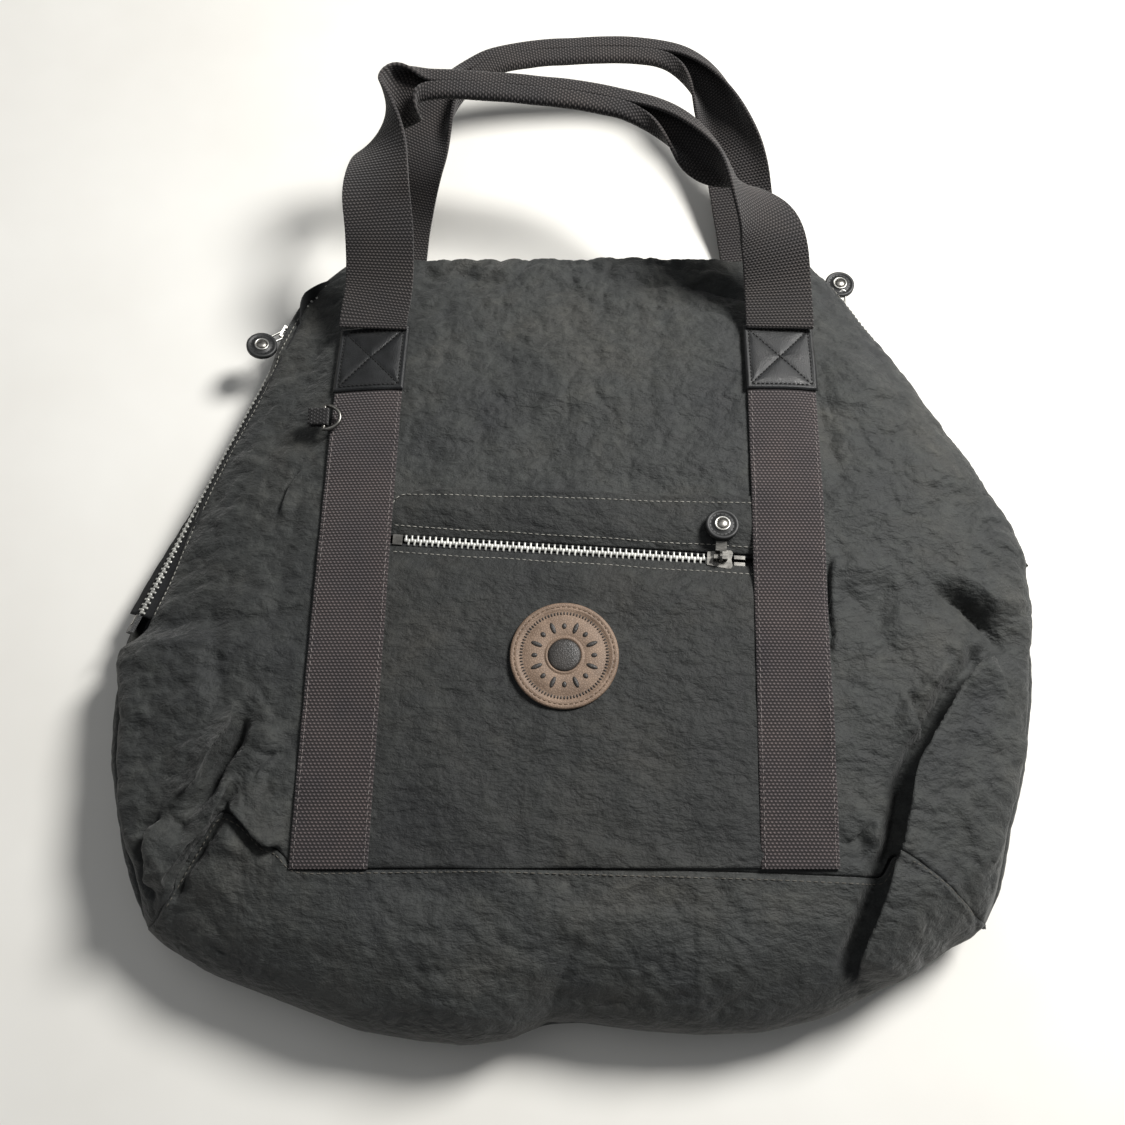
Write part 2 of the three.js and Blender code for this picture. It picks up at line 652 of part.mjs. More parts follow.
function buildPocketZip() {
  const frame = placed(pocketStart, pocketTravel, pocketAcross, up);
  const length = POCKET.zipLength;
  const tapeHalf = TAPE.half;
  // The tape is pierced where the teeth's cord runs, so it starts outside the cord.
  const near = TEETH.outer + 0.4;
  add("pocket_tape_upper", block(1, length - 1, near, 12, -tapeHalf, tapeHalf), "tape", frame);
  add("pocket_tape_lower", block(1, length - 1, -12, -near, -tapeHalf, tapeHalf), "tape", frame);
  const openFrom = POCKET_ZIP.sliderAt - 6;
  add("pocket_teeth_upper", rack(8, 190, openFrom, 1, 0), "teeth", frame);
  add("pocket_teeth_lower", rack(8, 190, openFrom, -1, 0.5), "teeth", frame);
  add("pocket_stop_end", block(2, 7.4, -2.9, 2.9, -1.4, 1.4), "metal", frame);
  add("pocket_stop_upper", block(191, 197, 0.9, 2.9, -1.4, 1.4), "metal", frame);
  add("pocket_stop_lower", block(191, 197, -2.9, -0.9, -1.4, 1.4), "metal", frame);
  const slider = new THREE.Group();
  slider.position.x = POCKET_ZIP.sliderAt;
  frame.add(slider);
  add("pocket_slider", sliderSolid(), "metal", slider);
  addPull("pocket", slider, ringLink(), (BRIDGE.low + BRIDGE.high) / 2, { at: 0, swing: 90, lift: 8 });
}

function buildMainZip() {
  for (const [name, side] of [["front", 1], ["back", -1]]) {
    const near = TEETH.outer + 0.8;
    add("main_tape_" + name, strip(mainRow(side), near, TAPE.outer, -TAPE.half, TAPE.half), "tape");
    const rows = mainRow(side, { inner: 1.6 });
    add("main_teeth_" + name, strip(rows, 0.3, TEETH.outer, -TEETH.half, TEETH.half), "teeth");
  }
}

function buildSide(name, zip, ends, pull) {
  const mirror = Math.sign(zip.end[0]);
  const s = station(0, 0, 0, [ends.outward.x, ends.outward.y], -zip.lean, 1);
  const x = ends.travel;
  const z = s.b.clone().cross(x).multiplyScalar(-mirror).normalize();
  const y = z.clone().cross(x);
  const frame = placed(ends.end, x, y, z);
  const length = ends.start.distanceTo(ends.end);
  add("main_slider_" + name, sliderSolid(), "metal", frame);
  addPull("main_" + name, frame, eyeLink(), 4.2, pull);
  add("main_stop_" + name, block(-length - 6.4, -length - 0.4, -3, 3, -1.5, 1.5), "metal", frame);
  const tab = joined(
    block(-length - 11, -length - 6.8, -7, 7, -1.2, 1.2),
    block(-length - 6.9, -length - 0.5, 3.4, 7, -1.2, 1.2),
    block(-length - 6.9, -length - 0.5, -7, -3.4, -1.2, 1.2),
  );
  add("main_end_tab_" + name, tab, "leather", frame);
}

// ---- assembly ------------------------------------------------------------------------------------

buildShell();
buildLining();
buildPocket();
buildStraps("left");
buildStraps("right");
buildHandles();
buildBadge();
buildRing();
buildPocketZip();
buildMainZip();
buildSide("left", LEFT_ZIP, leftEnds, { at: 0, swing: 180, lift: 25 });
buildSide("right", RIGHT_ZIP, rightEnds, { at: 0, swing: 0, lift: 20 });

// The frame's origin is the middle of the footprint, on the floor.
bag.updateMatrixWorld(true);
const size = new THREE.Box3().setFromObject(bag, true);
const middle = size.getCenter(V());
bag.position.set(-middle.x, -middle.y, -size.min.z);

export default bag;
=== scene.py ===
"""A slack nylon holdall on its back: crinkled shell, webbing handles, zipped pocket and leather badge.

Lengths are in millimetres in the bag's own plan (X across, Y towards the mouth, Z up from the floor)
until a mesh is made, when they become metres in the part's frame.
"""

import math

import bpy
import numpy as np
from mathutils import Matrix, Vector


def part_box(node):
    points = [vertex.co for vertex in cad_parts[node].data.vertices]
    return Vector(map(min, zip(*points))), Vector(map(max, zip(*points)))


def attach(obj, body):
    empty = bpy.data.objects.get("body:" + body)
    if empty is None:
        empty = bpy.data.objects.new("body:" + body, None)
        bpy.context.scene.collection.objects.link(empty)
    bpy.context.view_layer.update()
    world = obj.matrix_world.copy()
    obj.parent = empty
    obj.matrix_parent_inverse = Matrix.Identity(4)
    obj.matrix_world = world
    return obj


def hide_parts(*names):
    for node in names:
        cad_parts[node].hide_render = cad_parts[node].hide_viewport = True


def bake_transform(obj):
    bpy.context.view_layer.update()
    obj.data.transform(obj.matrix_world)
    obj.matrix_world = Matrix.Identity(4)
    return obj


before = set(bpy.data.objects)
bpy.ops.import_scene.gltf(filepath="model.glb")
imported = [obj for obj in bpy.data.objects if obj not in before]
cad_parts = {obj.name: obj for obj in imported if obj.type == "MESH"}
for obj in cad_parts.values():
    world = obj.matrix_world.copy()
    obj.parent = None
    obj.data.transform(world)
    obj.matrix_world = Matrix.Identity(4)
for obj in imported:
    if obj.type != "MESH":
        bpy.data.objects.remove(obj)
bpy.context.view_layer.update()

ORIGIN = np.array([-7.715, -47.417, 0.0])  # the plan's origin in the part's frame
METRE = 0.001
UP = np.array([0, 0, 1.0])

# ---- the slack shell's outline, heights and folds -------------------------------------------------

LEFT_EDGE = [
    (-202, -222), (-190, -228), (-166, -238), (-145, -245), (-113, -252), (-79, -254), (-50, -253),
    (-31, -248), (150, -175), (166, -169), (175, -164), (184, -156), (191, -148), (198, -140),
]
RIGHT_EDGE = [
    (-200, 221), (-182, 231), (-150, 240), (-118, 252), (-79, 260), (-45, 264), (-9, 264), (21, 256),
    (47, 242), (79, 225), (111, 207), (145, 187), (159, 179), (175, 169), (186, 162), (198, 152),
]
BOTTOM_EDGE = [
    (-222, -202), (-213, -210), (-185, -225), (-145, -239), (-108, -252), (-76, -257), (-51, -259),
    (-30, -256), (-12, -249), (6, -248), (37, -252), (68, -254), (99, -253), (131, -246),
    (163, -232), (201, -210), (221, -200),
]
BASE_SEAM = [
    (-222, -202), (-214, -198), (-204, -186), (-198, -173), (-190, -159), (-180, -143),
    (-170, -147), (-157, -160), (-149, -162), (-140, -171), (-130, -172), (-45, -171), (66, -174),
    (102, -175), (150, -177), (161, -177), (167, -165), (174, -168), (183, -174), (192, -181),
    (203, -190), (212, -197), (221, -200),
]
CROWN = [
    (-259, 60), (-205, 66), (-150, 66), (-79, 64), (0, 62), (60, 59), (100, 55), (142, 46), (175, 37),
    (198, 30), (230, 28),
]
RIM = [(-259, 26), (-205, 26), (-31, 22), (150, 15), (198, 13), (230, 13)]
FLOOR = [(-259, 1), (-239, 0.5), (-176, 0.5), (-171, 3), (90, 5.2), (230, 5.2)]
BOTTOM_ROUNDING = 60
LOWEST_ROW = -202  # the y of the base seam's ends
SHEET_W = 560  # length of a row of the front sheet, over its curve
BACK_SHEET_W = 580
CORNERS = (-222, 221)
MOUTH_Y = 198
HEM = 15
HEM_ROUNDING = 1.5
MOUTH_Z = 14  # between the two sheets at the mouth
GRID = 1.7  # spacing of the shell's mesh
SIDE_INSET = 7  # how far the side seam lies inside the outline, below the zips

LEFT_ZIP = {"start": (-248, -31), "end": (-175, 150), "lean": 30, "inward": 3.5, "lift": 6}
RIGHT_ZIP = {"start": (267, -4), "end": (172, 166), "lean": -10, "inward": 4, "lift": 0}
ZIP_ROLL = {1: 38, -1: 24}  # how far the left zip's front and back rows roll over, in degrees
SLIDER_AT = 195  # how far each main slider is from its end of the row
SLIDER_GAP = 7.5  # half the length of row that a slider hides
LIP = 5  # from the zip's axis to the cloth's folded edge
COVER = 5.5  # how far the cloth's edge bulges over the zip, on the right and at the left shoulder

STRAP = {-1: [(-171, -121), (198, -114)], 1: [(-171, 117), (198, 127)]}
WEBBING_W = 40
PATCH = {"low": 97, "high": 142, "half": 20.4}
POCKET_TOP = 30
POCKET_BOTTOM = -172.5
ZIP_OPENING = 4.2  # from the pocket zip's axis to the cloth beside it
FOLD_ROUNDING = 0.8
POCKET_ZIP_START = np.array([-99, 4.7])
POCKET_ZIP_END = np.array([101, -8.5])
BADGE = (-2, -63, 29)  # its centre, and its radius

# Creases and ridges: points, how far their slopes reach, and height (a crease is negative).
FOLDS = [
    # the left corner
    ([(-203, -147), (-194, -138), (-188, -129), (-182, -119), (-175, -108), (-170, -94)], 2.0, -13),
    ([(-209, -142), (-201, -131), (-194, -120), (-187, -109), (-180, -98), (-174, -86)], 3.0, 5),
    ([(-202, -190), (-197, -177), (-191, -168), (-185, -158), (-180, -150)], 2.0, -8),
    ([(-213, -142), (-216, -152), (-217, -162), (-216, -174), (-213, -186)], 2.0, -10),
    ([(-246, -68), (-244, -90), (-241, -116), (-238, -138), (-232, -160)], 1.6, -3.5),
    ([(-204, -146), (-201, -152), (-199, -160)], 3.5, -6),
    ([(-186, -150), (-176, -158), (-166, -168)], 5, 4),
    ([(-246, -92), (-240, -128), (-230, -164)], 6, 4),
    ([(-197, -178), (-185, -195), (-170, -210)], 9, -3),
    ([(-196, -30), (-190, -60), (-184, -84), (-176, -100)], 8, -4),
    ([(-206, -40), (-200, -70), (-192, -92)], 8, 3),
    # small puckers beside the left strap
    ([(-150, -100), (-160, -108), (-166, -122)], 4, 3.5),
    ([(-146, -112), (-153, -122), (-156, -136)], 3, -3),
    # the hollow and the small ridges at the top of the right-hand flap
    ([(200, -22), (209, -27), (220, -32), (229, -41), (235, -50), (240, -58)], 6.5, -16),
    ([(150, -22), (160, -33), (172, -46)], 7, -5),
    ([(206, -10), (222, -18), (240, -36)], 7, 5),
    ([(184, -86), (194, -76), (206, -69), (218, -62)], 5, 5),
    ([(174, -88), (178, -100), (184, -112)], 4, 3),
    ([(158, 0), (158, -24), (164, -44)], 5, 3),
    ([(176, -10), (170, -34), (172, -60)], 5, -3),
    ([(238, -62), (226, -84), (214, -110), (204, -140)], 10, -2.5),
    ([(246, -110), (238, -140), (226, -172)], 5, -4),
    ([(196, -190), (186, -206), (176, -220)], 8, -2),
    # puckers along the base seam by the right strap, and below the pocket
    ([(146, -150), (150, -160), (148, -170)], 3, -4),
    ([(158, -146), (157, -158), (160, -168)], 4, 4),
    # the sagging bottom edge
    ([(-12, -256), (-8, -238), (-2, -222), (4, -204)], 8, -5),
    ([(-60, -250), (-52, -236), (-48, -220)], 9, 2.5),
    ([(46, -252), (44, -238), (40, -226)], 10, 3),
    ([(-112, -246), (-96, -230), (-70, -222), (-40, -224)], 8, -3),
    ([(-30, -232), (0, -236), (40, -238), (66, -234)], 8, -3),
    ([(70, -246), (92, -232), (118, -226)], 9, -3),
    ([(-168, -206), (-140, -214), (-104, -216)], 8, -2),
    # drag lines under the mouth's edge
    ([(-92, 190), (-85, 184), (-74, 181)], 3, -5.5),
    ([(-70, 192), (-62, 186), (-50, 183)], 3, -4.5),
    ([(-14, 178), (-2, 174), (10, 175)], 3, -3.5),
    ([(40, 184), (51, 178), (64, 179)], 3, -5.5),
    ([(30, 190), (44, 189), (60, 190)], 5, 2.5),
    ([(78, 184), (92, 186), (104, 190)], 5, 2.5),
    ([(70, 180), (88, 176), (98, 172), (106, 166)], 3.5, -6),
    ([(-60, 188), (-40, 190), (-20, 187)], 4, 2),
    ([(139, 120), (146, 90), (150, 60), (160, 30)], 7, -3),
    ([(160, 130), (172, 108), (186, 88)], 8, 2.5),
    ([(-150, 140), (-156, 110), (-166, 80), (-176, 50)], 8, -3),
    ([(-184, 40), (-196, 10), (-208, -20)], 10, 3),
    ([(-146, 60), (-152, 30), (-158, -10), (-160, -50)], 7, -3),
    ([(-180, -20), (-186, -50), (-180, -80)], 10, 2.5),
]
RIDGE_ROUNDING = 3.0  # radius at the top of a ridge, and at the bottom of a crease
CREASE_ROUNDING = 0.9
# Places where the cloth lies over itself, as a crisp edge with a shadow beside it. Each has the
# edge's line, with the upper layer on the left as the line is followed, then the layer's height,
# how far back it stays raised, how far the edge overhangs, and how suddenly it starts and ends.
TUCKS = [
    # the right-hand side, folded forwards into one long flap
    ([(237, -60), (228, -60), (220, -65), (212, -72), (206, -79), (197, -93), (189, -104), (182, -114),
      (177, -123), (174, -133), (171, -145), (167, -159), (162, -170), (158, -181), (153, -193),
      (148, -203), (143, -214), (139, -226)], 17, 85, 8.0, (0.08, 0.93)),
    # the left corner: a rolled ridge, and the end of the base tucked under the side
    ([(-204, -143), (-196, -135), (-190, -126), (-184, -116), (-177, -105), (-174, -97), (-171, -84)],
     14, 9, 6.5, (0.3, 0.7)),
    ([(-203, -187), (-199, -175), (-193, -166), (-187, -156), (-183, -151), (-180, -144), (-174, -134),
      (-170, -127)], 10, 14, 5.5, (0.2, 0.8)),
    ([(-179, -140), (-172, -144), (-165, -151), (-160, -157), (-154, -162), (-145, -163)],
     8, 16, 3.6, (0.2, 0.85)),
    ([(-215, -143), (-218, -151), (-219, -161), (-218, -173), (-216, -186)], 10, 12, 5.0, (0.25, 0.8)),
    # the side seams, standing a little over the back panel
    ([(-246, -66), (-245, -80), (-243, -100), (-240, -125), (-236, -146), (-230, -172)],
     2.2, 8, 1.0, (0.1, 0.9)),
    ([(214, -176), (224, -160), (232, -140), (240, -118), (246, -100)], 2.5, 10, 1.2, (0.15, 0.8)),
    # small puckers beside the straps
    ([(191, -107), (186, -102), (181, -93), (180, -84), (182, -78)], 5, 12, 3.0, (0.25, 0.7)),
    ([(-150, 52), (-153, 46), (-158, 38), (-160, 28), (-163, 16)], 3, 9, 1.6, (0.2, 0.7)),
    ([(-150, -112), (-154, -118), (-158, -122), (-162, -130)], 3, 8, 1.6, (0.3, 0.7)),
    ([(146, -4), (144, -18), (143, -33), (144, -50), (140, -66)], 3.5, 14, 1.8, (0.15, 0.8)),
    ([(137, -77), (134, -92), (136, -108), (139, -120)], 3.0, 12, 1.5, (0.2, 0.8)),
    ([(139, -160), (146, -157), (152, -151), (158, -147)], 3, 10, 1.6, (0.2, 0.7)),
]


def smooth_table(points, spread):
    """A function through [position, value] pairs, with its corners rounded over about spread mm."""
    at, value = np.array(points, float).T
    reach = int(4 * spread)
    grid = np.arange(at[0] - reach, at[-1] + reach + 1, 1.0)
    kernel = np.exp(-0.5 * (np.arange(-reach, reach + 1) / spread) ** 2)
    low = np.interp(grid, at, value)
    # Beyond the ends the table carries on in a straight line, so that rounding leaves the ends alone.
    slope_in = (value[1] - value[0]) / (at[1] - at[0])
    slope_out = (value[-1] - value[-2]) / (at[-1] - at[-2])
    low = np.where(grid < at[0], value[0] + slope_in * (grid - at[0]), low)
    low = np.where(grid > at[-1], value[-1] + slope_out * (grid - at[-1]), low)
    padded = np.pad(low, reach, mode="reflect", reflect_type="odd")
    smoothed = np.convolve(padded, kernel / kernel.sum(), "valid")
    return lambda q: np.interp(q, grid, smoothed)


left_edge = smooth_table(LEFT_EDGE, 4)
right_edge = smooth_table(RIGHT_EDGE, 4)
bottom_edge = smooth_table(BOTTOM_EDGE, 3)
base_seam = smooth_table(BASE_SEAM, 1.6)
crown_at = smooth_table(CROWN, 8)
rim_at = smooth_table(RIM, 8)
floor_at = smooth_table(FLOOR, 4)


def smoothstep(a, b, x):
    """0 at a, 1 at b, and an eased step between them."""
    t = np.clip((x - a) / (b - a), 0, 1)
    return t * t * (3 - 2 * t)


# ---- noise ----------------------------------------------------------------------------------------


def gradient_noise(x, y, seed):
    """Smooth noise between about -1 and 1, with features one unit wide."""
    random = np.random.RandomState(seed)
    angles = random.uniform(0, 2 * math.pi, (64, 64))
    xi, yi = np.floor(x).astype(int), np.floor(y).astype(int)
    xf, yf = x - xi, y - yi
    total = 0
    for dx in (0, 1):
        for dy in (0, 1):
            angle = angles[(xi + dx) % 64, (yi + dy) % 64]
            dot = np.cos(angle) * (xf - dx) + np.sin(angle) * (yf - dy)
            wx = smoothstep(0, 1, xf if dx else 1 - xf)
            wy = smoothstep(0, 1, yf if dy else 1 - yf)
            total = total + dot * wx * wy
    return total * 1.5


def crinkle(x, y, seed, size=16.0, stretch=1.6):
    """Creased-cloth relief: sharp little valleys between soft facets, longer across than along."""
    warp_x = gradient_noise(x / 31, y / 31, seed + 1) * 9
    warp_y = gradient_noise(x / 31, y / 31, seed + 2) * 9
    total = 0
    for octave, share in ((1, 1.0), (2.1, 0.5), (4.3, 0.24)):
        u = (x + warp_x) * octave / (size * stretch)
        v = (y + warp_y) * octave / size
        ridged = np.abs(gradient_noise(u, v, seed + 10 + int(octave * 3)))
        total = total + share * (np.sqrt(ridged + 0.01) - 0.5)
    return total


# ---- the shell's height over the plan --------------------------------------------------------------


def fullness(u, power=1 / 3):
    """A soft bag's section: 0 at its edges (u of -1 and 1), rising steeply to 1 across the middle."""
    return np.clip(1 - np.abs(np.clip(u, -1, 1)) ** 4, 0, 1) ** power


def bottom_fullness(y, x):
    """0 at the bottom edge, rising to 1 over BOTTOM_ROUNDING."""
    t = np.clip((y - bottom_edge(x)) / BOTTOM_ROUNDING, 0, 1)
    return (1 - (1 - t) ** 3) ** (1 / 1.8)


def zip_share(side, y):
    """1 beside the open zip, and 0 where the side seam is closed below it."""
    low = LEFT_ZIP["start"][1] - 9 if side < 0 else RIGHT_ZIP["start"][1] + 6
    return smoothstep(low - 14, low + 2, y)


def side_name(side):
    return "left" if side < 0 else "right"


def zip_of(side):
    return LEFT_ZIP if side < 0 else RIGHT_ZIP


def side_edge(side, y):
    return left_edge(y) if side < 0 else right_edge(y)


def inset_at(side, y):
    """How far inside the outline the side seam runs."""
    low = zip_of(side)["start"][1]
    fade = smoothstep(-206, -176, y) * (1 - smoothstep(low - 60, low - 20, y))
    return SIDE_INSET * fade * (1 if side < 0 else 0.8)


def zip_turn(side, y):
    """The left zip rolls over to face up at its bottom end (1), where it lies open on the side."""
    return (1 - smoothstep(-24, 52, y)) * (side < 0)


def zip_or_seam(side, y, open_x, open_z):
    """The end of a sheet: at the zip where there is one, and at the side seam below it."""
    zipped = zip_share(side, y)
    inset = inset_at(side, y)
    closed_x, closed_z = side_edge(side, y) - side * inset, rim_at(y) + 1.2 * inset
    return closed_x + (open_x - closed_x) * zipped, closed_z + (open_z - closed_z) * zipped


def front_end(side, y):
    """Where the front sheet ends: (x, z) at a zip's lip, or at the side seam."""
    zip_, turn = zip_of(side), zip_turn(side, y)
    lean = np.radians(zip_["lean"] + ZIP_ROLL[1] * turn)
    lip = LIP + 4 * turn
    open_x = side_edge(side, y) - side * (zip_["inward"] + turn + lip * np.sin(lean))
    open_x = open_x + side * COVER * (smoothstep(105, 150, y) if side < 0 else 1)
    open_z = rim_at(y) + zip_["lift"] + lip * np.cos(lean)
    return zip_or_seam(side, y, open_x, open_z)


def back_end(side, y):
    """Where the back sheet ends, on the other side of the zip."""
    zip_ = zip_of(side)
    lean = math.radians(zip_["lean"])
    open_x = side_edge(side, y) - side * (zip_["inward"] - LIP * math.sin(lean))
    open_z = rim_at(y) + zip_["lift"] - LIP * math.cos(lean)
    return zip_or_seam(side, y, open_x, open_z)


def front_height(x, y):
    """The front sheet's height before folds and crinkle."""
    (x0, z0), (x1, z1) = front_end(-1, y), front_end(1, y)
    share = np.clip((x - x0) / (x1 - x0), 0, 1)
    end_z = z0 + (z1 - z0) * share
    # Beside the left zip the cloth lies slack, so the zip shows past it.
    slack = zip_share(-1, y) * (1 - smoothstep(-0.9, -0.3, 2 * share - 1))
    full = fullness(2 * share - 1, 1 / 3 + 0.42 * slack) * bottom_fullness(y, x)
    return end_z + (crown_at(y) - end_z) * full


def back_height(x, y):
    """The back sheet's height, close to the floor."""
    x0, x1 = left_edge(y), right_edge(y)
    u = (2 * x - x0 - x1) / (x1 - x0)
    return rim_at(y) - (rim_at(y) - floor_at(y)) * fullness(u) * bottom_fullness(y, x)


def strap_x(side, y):
    """The middle line of a strap."""
    (y0, x0), (y1, x1) = STRAP[side]
    return x0 + (x1 - x0) * (np.asarray(y, float) - y0) / (y1 - y0)


# ---- folds ----------------------------------------------------------------------------------------


def to_line(x, y, line):
    """Signed distance to a polyline (positive on its right), how far along it from 0 to 1, and the
    direction to its right."""
    points = np.array(line, float)
    lengths = np.linalg.norm(np.diff(points, axis=0), axis=1)
    total, run = lengths.sum(), 0.0
    best = np.full(np.shape(x), 1e9)
    signed, along = np.zeros(np.shape(x)), np.zeros(np.shape(x))
    right = np.zeros((*np.shape(x), 2))
    for (ax, ay), (bx, by), length in zip(points[:-1], points[1:], lengths):
        dx, dy = (bx - ax) / length, (by - ay) / length
        s = np.clip((x - ax) * dx + (y - ay) * dy, 0, length)
        distance = np.hypot(x - ax - s * dx, y - ay - s * dy)
        side = np.sign((x - ax) * dy - (y - ay) * dx)
        closer = distance < best
        best = np.where(closer, distance, best)
        signed = np.where(closer, distance * side, signed)
        along = np.where(closer, (run + s) / total, along)
        right = np.where(closer[..., None], np.array([dy, -dx]), right)
        run += length
    return signed, along, right


def near_line(x, y, line, reach):
    """Which points lie in a box round the line."""
    points = np.array(line, float)
    low, high = points.min(0) - reach, points.max(0) + reach
    return (x > low[0]) & (x < high[0]) & (y > low[1]) & (y < high[1])


def fold_relief(x, y):
    """Height added by the named creases, ridges and tucks."""
    relief = np.zeros(np.shape(x))
    for line, width, height in FOLDS:
        mask = near_line(x, y, line, 4 * width)
        signed, along, _ = to_line(x[mask], y[mask], line)
        taper = np.sin(math.pi * np.clip(along, 0.01, 0.99)) ** 0.7
        rounding = CREASE_ROUNDING if height < 0 else RIDGE_ROUNDING
        away = np.sqrt(signed**2 + rounding**2) - rounding
        cutoff = 1 - smoothstep(2.6 * width, 4 * width, np.abs(signed))
        relief[mask] += height * taper * cutoff * np.exp(-away / width)
    for line, height, reach, overhang, ends in TUCKS:
        mask = near_line(x, y, line, 3 * reach + 10)
        signed, along, _ = to_line(x[mask], y[mask], line)
        back = 2.6 - overhang - signed
        share = tuck_share(along, ends)
        raised = smoothstep(-3.3, 0.2, back - 2.5) * np.exp(-np.maximum(back, 0) / reach)
        cutoff = 1 - smoothstep(2.2 * reach, 3 * reach, np.abs(signed))
        relief[mask] += height * share * raised * cutoff
        relief[mask] -= 0.5 * height * share * np.exp(-(((signed - 1.5) / (1.5 + 0.24 * height)) ** 2))
    return relief


def tuck_share(along, ends):
    """1 along the middle of a tuck, fading to 0 at its ends."""
    return smoothstep(0, ends[0], along) * (1 - smoothstep(ends[1], 1, along))


def tuck_push(x, y):
    """How far the tucks' edges lean over the cloth beside them, as a shift in the plan."""
    push = np.zeros((*np.shape(x), 2))
    for line, _, _, overhang, ends in TUCKS:
        mask = near_line(x, y, line, 4 * overhang + 20)
        signed, along, right = to_line(x[mask], y[mask], line)
        back = 2.6 - overhang - signed
        amount = overhang * tuck_share(along, ends) * smoothstep(-0.4, 2.6, back)
        amount = amount * np.exp(-np.maximum(back - 2.6, 0) / (3 * overhang + 3))
        push[mask] += right * amount[..., None]
    return push


def pocket_zip_y(x):
    """The axis of the pocket's zip."""
    (x0, y0), (x1, y1) = POCKET_ZIP_START, POCKET_ZIP_END
    return y0 + (y1 - y0) * (np.asarray(x, float) - x0) / (x1 - x0)


def pocket_top(x):
    """The upper edge of the pocket's band."""
    return np.interp(x, [-100, 106], [POCKET_TOP + 3, POCKET_TOP - 3])


def sewn_flat(x, y):
    """0 under the straps and the pocket, where the cloth can't crinkle freely, and 1 elsewhere."""
    free = np.ones(np.shape(x))
    for side in (-1, 1):
        away = np.abs(x - strap_x(side, y)) - WEBBING_W / 2
        free = free * smoothstep(-1, 9, away)
    inside = (x > strap_x(-1, y)) & (x < strap_x(1, y)) & (y < pocket_top(x) + 3)
    return np.where(inside & (y > -176), 0, free)


def soft_waves(x, y):
    """The slow rise and fall of slack cloth."""
    waves = 2.2 * gradient_noise(x / 58, y / 44, 5) + 1.3 * gradient_noise(x / 27, y / 21, 6)
    in_pocket = smoothstep(-125, -112, x) * (1 - smoothstep(112, 125, x))
    waves = waves * (1 - in_pocket * np.exp(-((np.abs(y - pocket_zip_y(x)) / 18) ** 4)))
    for side in (-1, 1):
        away = np.abs(x - strap_x(side, y)) - WEBBING_W / 2
        waves = waves * (0.3 + 0.7 * smoothstep(-4, 16, away))
    return waves * np.where((y > -172) & (y < POCKET_TOP) & (np.abs(x) < 110), 0.55, 1)


def height_at(surface, x, y):
    """A surface's height at one place."""
    return float(surface(np.array(float(x)), np.array(float(y))))


def base_surface(x, y):
    """The smooth surface that straps, pocket and badge are sewn to."""
    return front_height(x, y) + fold_relief(x, y) + soft_waves(x, y)


# ---- making meshes --------------------------------------------------------------------------------


def grid_faces(rows, columns, offset=0, loop=False):
    """Quads over a rows x columns grid of points, with the last column joined to the first if loop."""
    across = columns if loop else columns - 1
    r, c = np.meshgrid(np.arange(rows - 1), np.arange(across), indexing="ij")
    a = r * columns + c
    b = r * columns + (c + 1) % columns
    quads = np.stack([a, b, b + columns, a + columns], -1).reshape(-1, 4)
    return quads + offset


def repeated_faces(rings, sides, caps, count):
    """Faces of count bodies of one kind: each is a tube of rings, closed by caps."""
    body = np.concatenate([grid_faces(rings, sides, loop=True), np.array(caps)])
    starts = np.arange(count) * rings * sides
    return (body[None] + starts[:, None, None]).reshape(-1, 4)


def make_mesh(name, points, faces, material, uvs=None):
    """An object through plan points in mm. uvs are mm across and along the cloth, one per point."""
    mesh = bpy.data.meshes.new(name)
    faces = np.asarray(faces)
    mesh.vertices.add(len(points))
    mesh.vertices.foreach_set("co", ((np.asarray(points) + ORIGIN) * METRE).astype(np.float32).ravel())
    corners = faces.shape[1]
    mesh.loops.add(faces.size)
    mesh.loops.foreach_set("vertex_index", faces.ravel().astype(np.int32))
    mesh.polygons.add(len(faces))
    mesh.polygons.foreach_set("loop_start", np.arange(0, faces.size, corners, dtype=np.int32))
    mesh.polygons.foreach_set("loop_total", np.full(len(faces), corners, dtype=np.int32))
    mesh.update(calc_edges=True)
    mesh.validate()
    mesh.shade_smooth()
    if uvs is not None:
        layer = mesh.uv_layers.new(name="cloth")
        layer.data.foreach_set("uv", np.asarray(uvs, float)[faces.ravel()].ravel() / 100)
    mesh.materials.append(material)
    made = bpy.data.objects.new(name, mesh)
    bpy.context.scene.collection.objects.link(made)
    return made


def make_sheet(name, points, material, uvs=None, flipped=False):
    """An object from a rows x columns grid of plan points."""
    faces = grid_faces(*points.shape[:2])
    return make_mesh(name, points.reshape(-1, 3), faces[:, ::-1] if flipped else faces, material, uvs)


def joined_mesh(name, parts, material, with_uvs=False):
    """One object from several (points, quads) or (points, quads, uvs) parts."""
    points, faces, uvs, start = [], [], [], 0
    for part in parts:
        points.append(np.asarray(part[0], float))
        faces.append(np.asarray(part[1]) + start)
        if with_uvs:
            uvs.append(part[2])
        start += len(part[0])
    all_uvs = np.concatenate(uvs) if with_uvs else None
    return make_mesh(name, np.concatenate(points), np.concatenate(faces), material, all_uvs)


def thicken(piece, thickness, offset=-1):
    """Gives a sheet its thickness in mm, below it (-1), above it (1) or on both sides (0)."""
    solid = piece.modifiers.new("thickness", "SOLIDIFY")
    solid.thickness = thickness * METRE
    solid.offset = offset
    return piece


def finish_piece(piece, body, slot, *nodes):
    """Ties a piece to its body, and hides the CAD nodes that it stands in for. The slot argument is not
    used.
    """
    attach(piece, body)
    if nodes:
        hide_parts(*nodes)
    return piece


def unit(v):
    """Vectors scaled to a length of one."""
    return v / np.maximum(np.linalg.norm(v, axis=-1, keepdims=True), 1e-9)


def grid_normals(points):
    """Unit normals of a rows x columns x 3 grid, pointing up where the sheet faces up."""
    return unit(np.cross(np.gradient(points, axis=1), np.gradient(points, axis=0)))


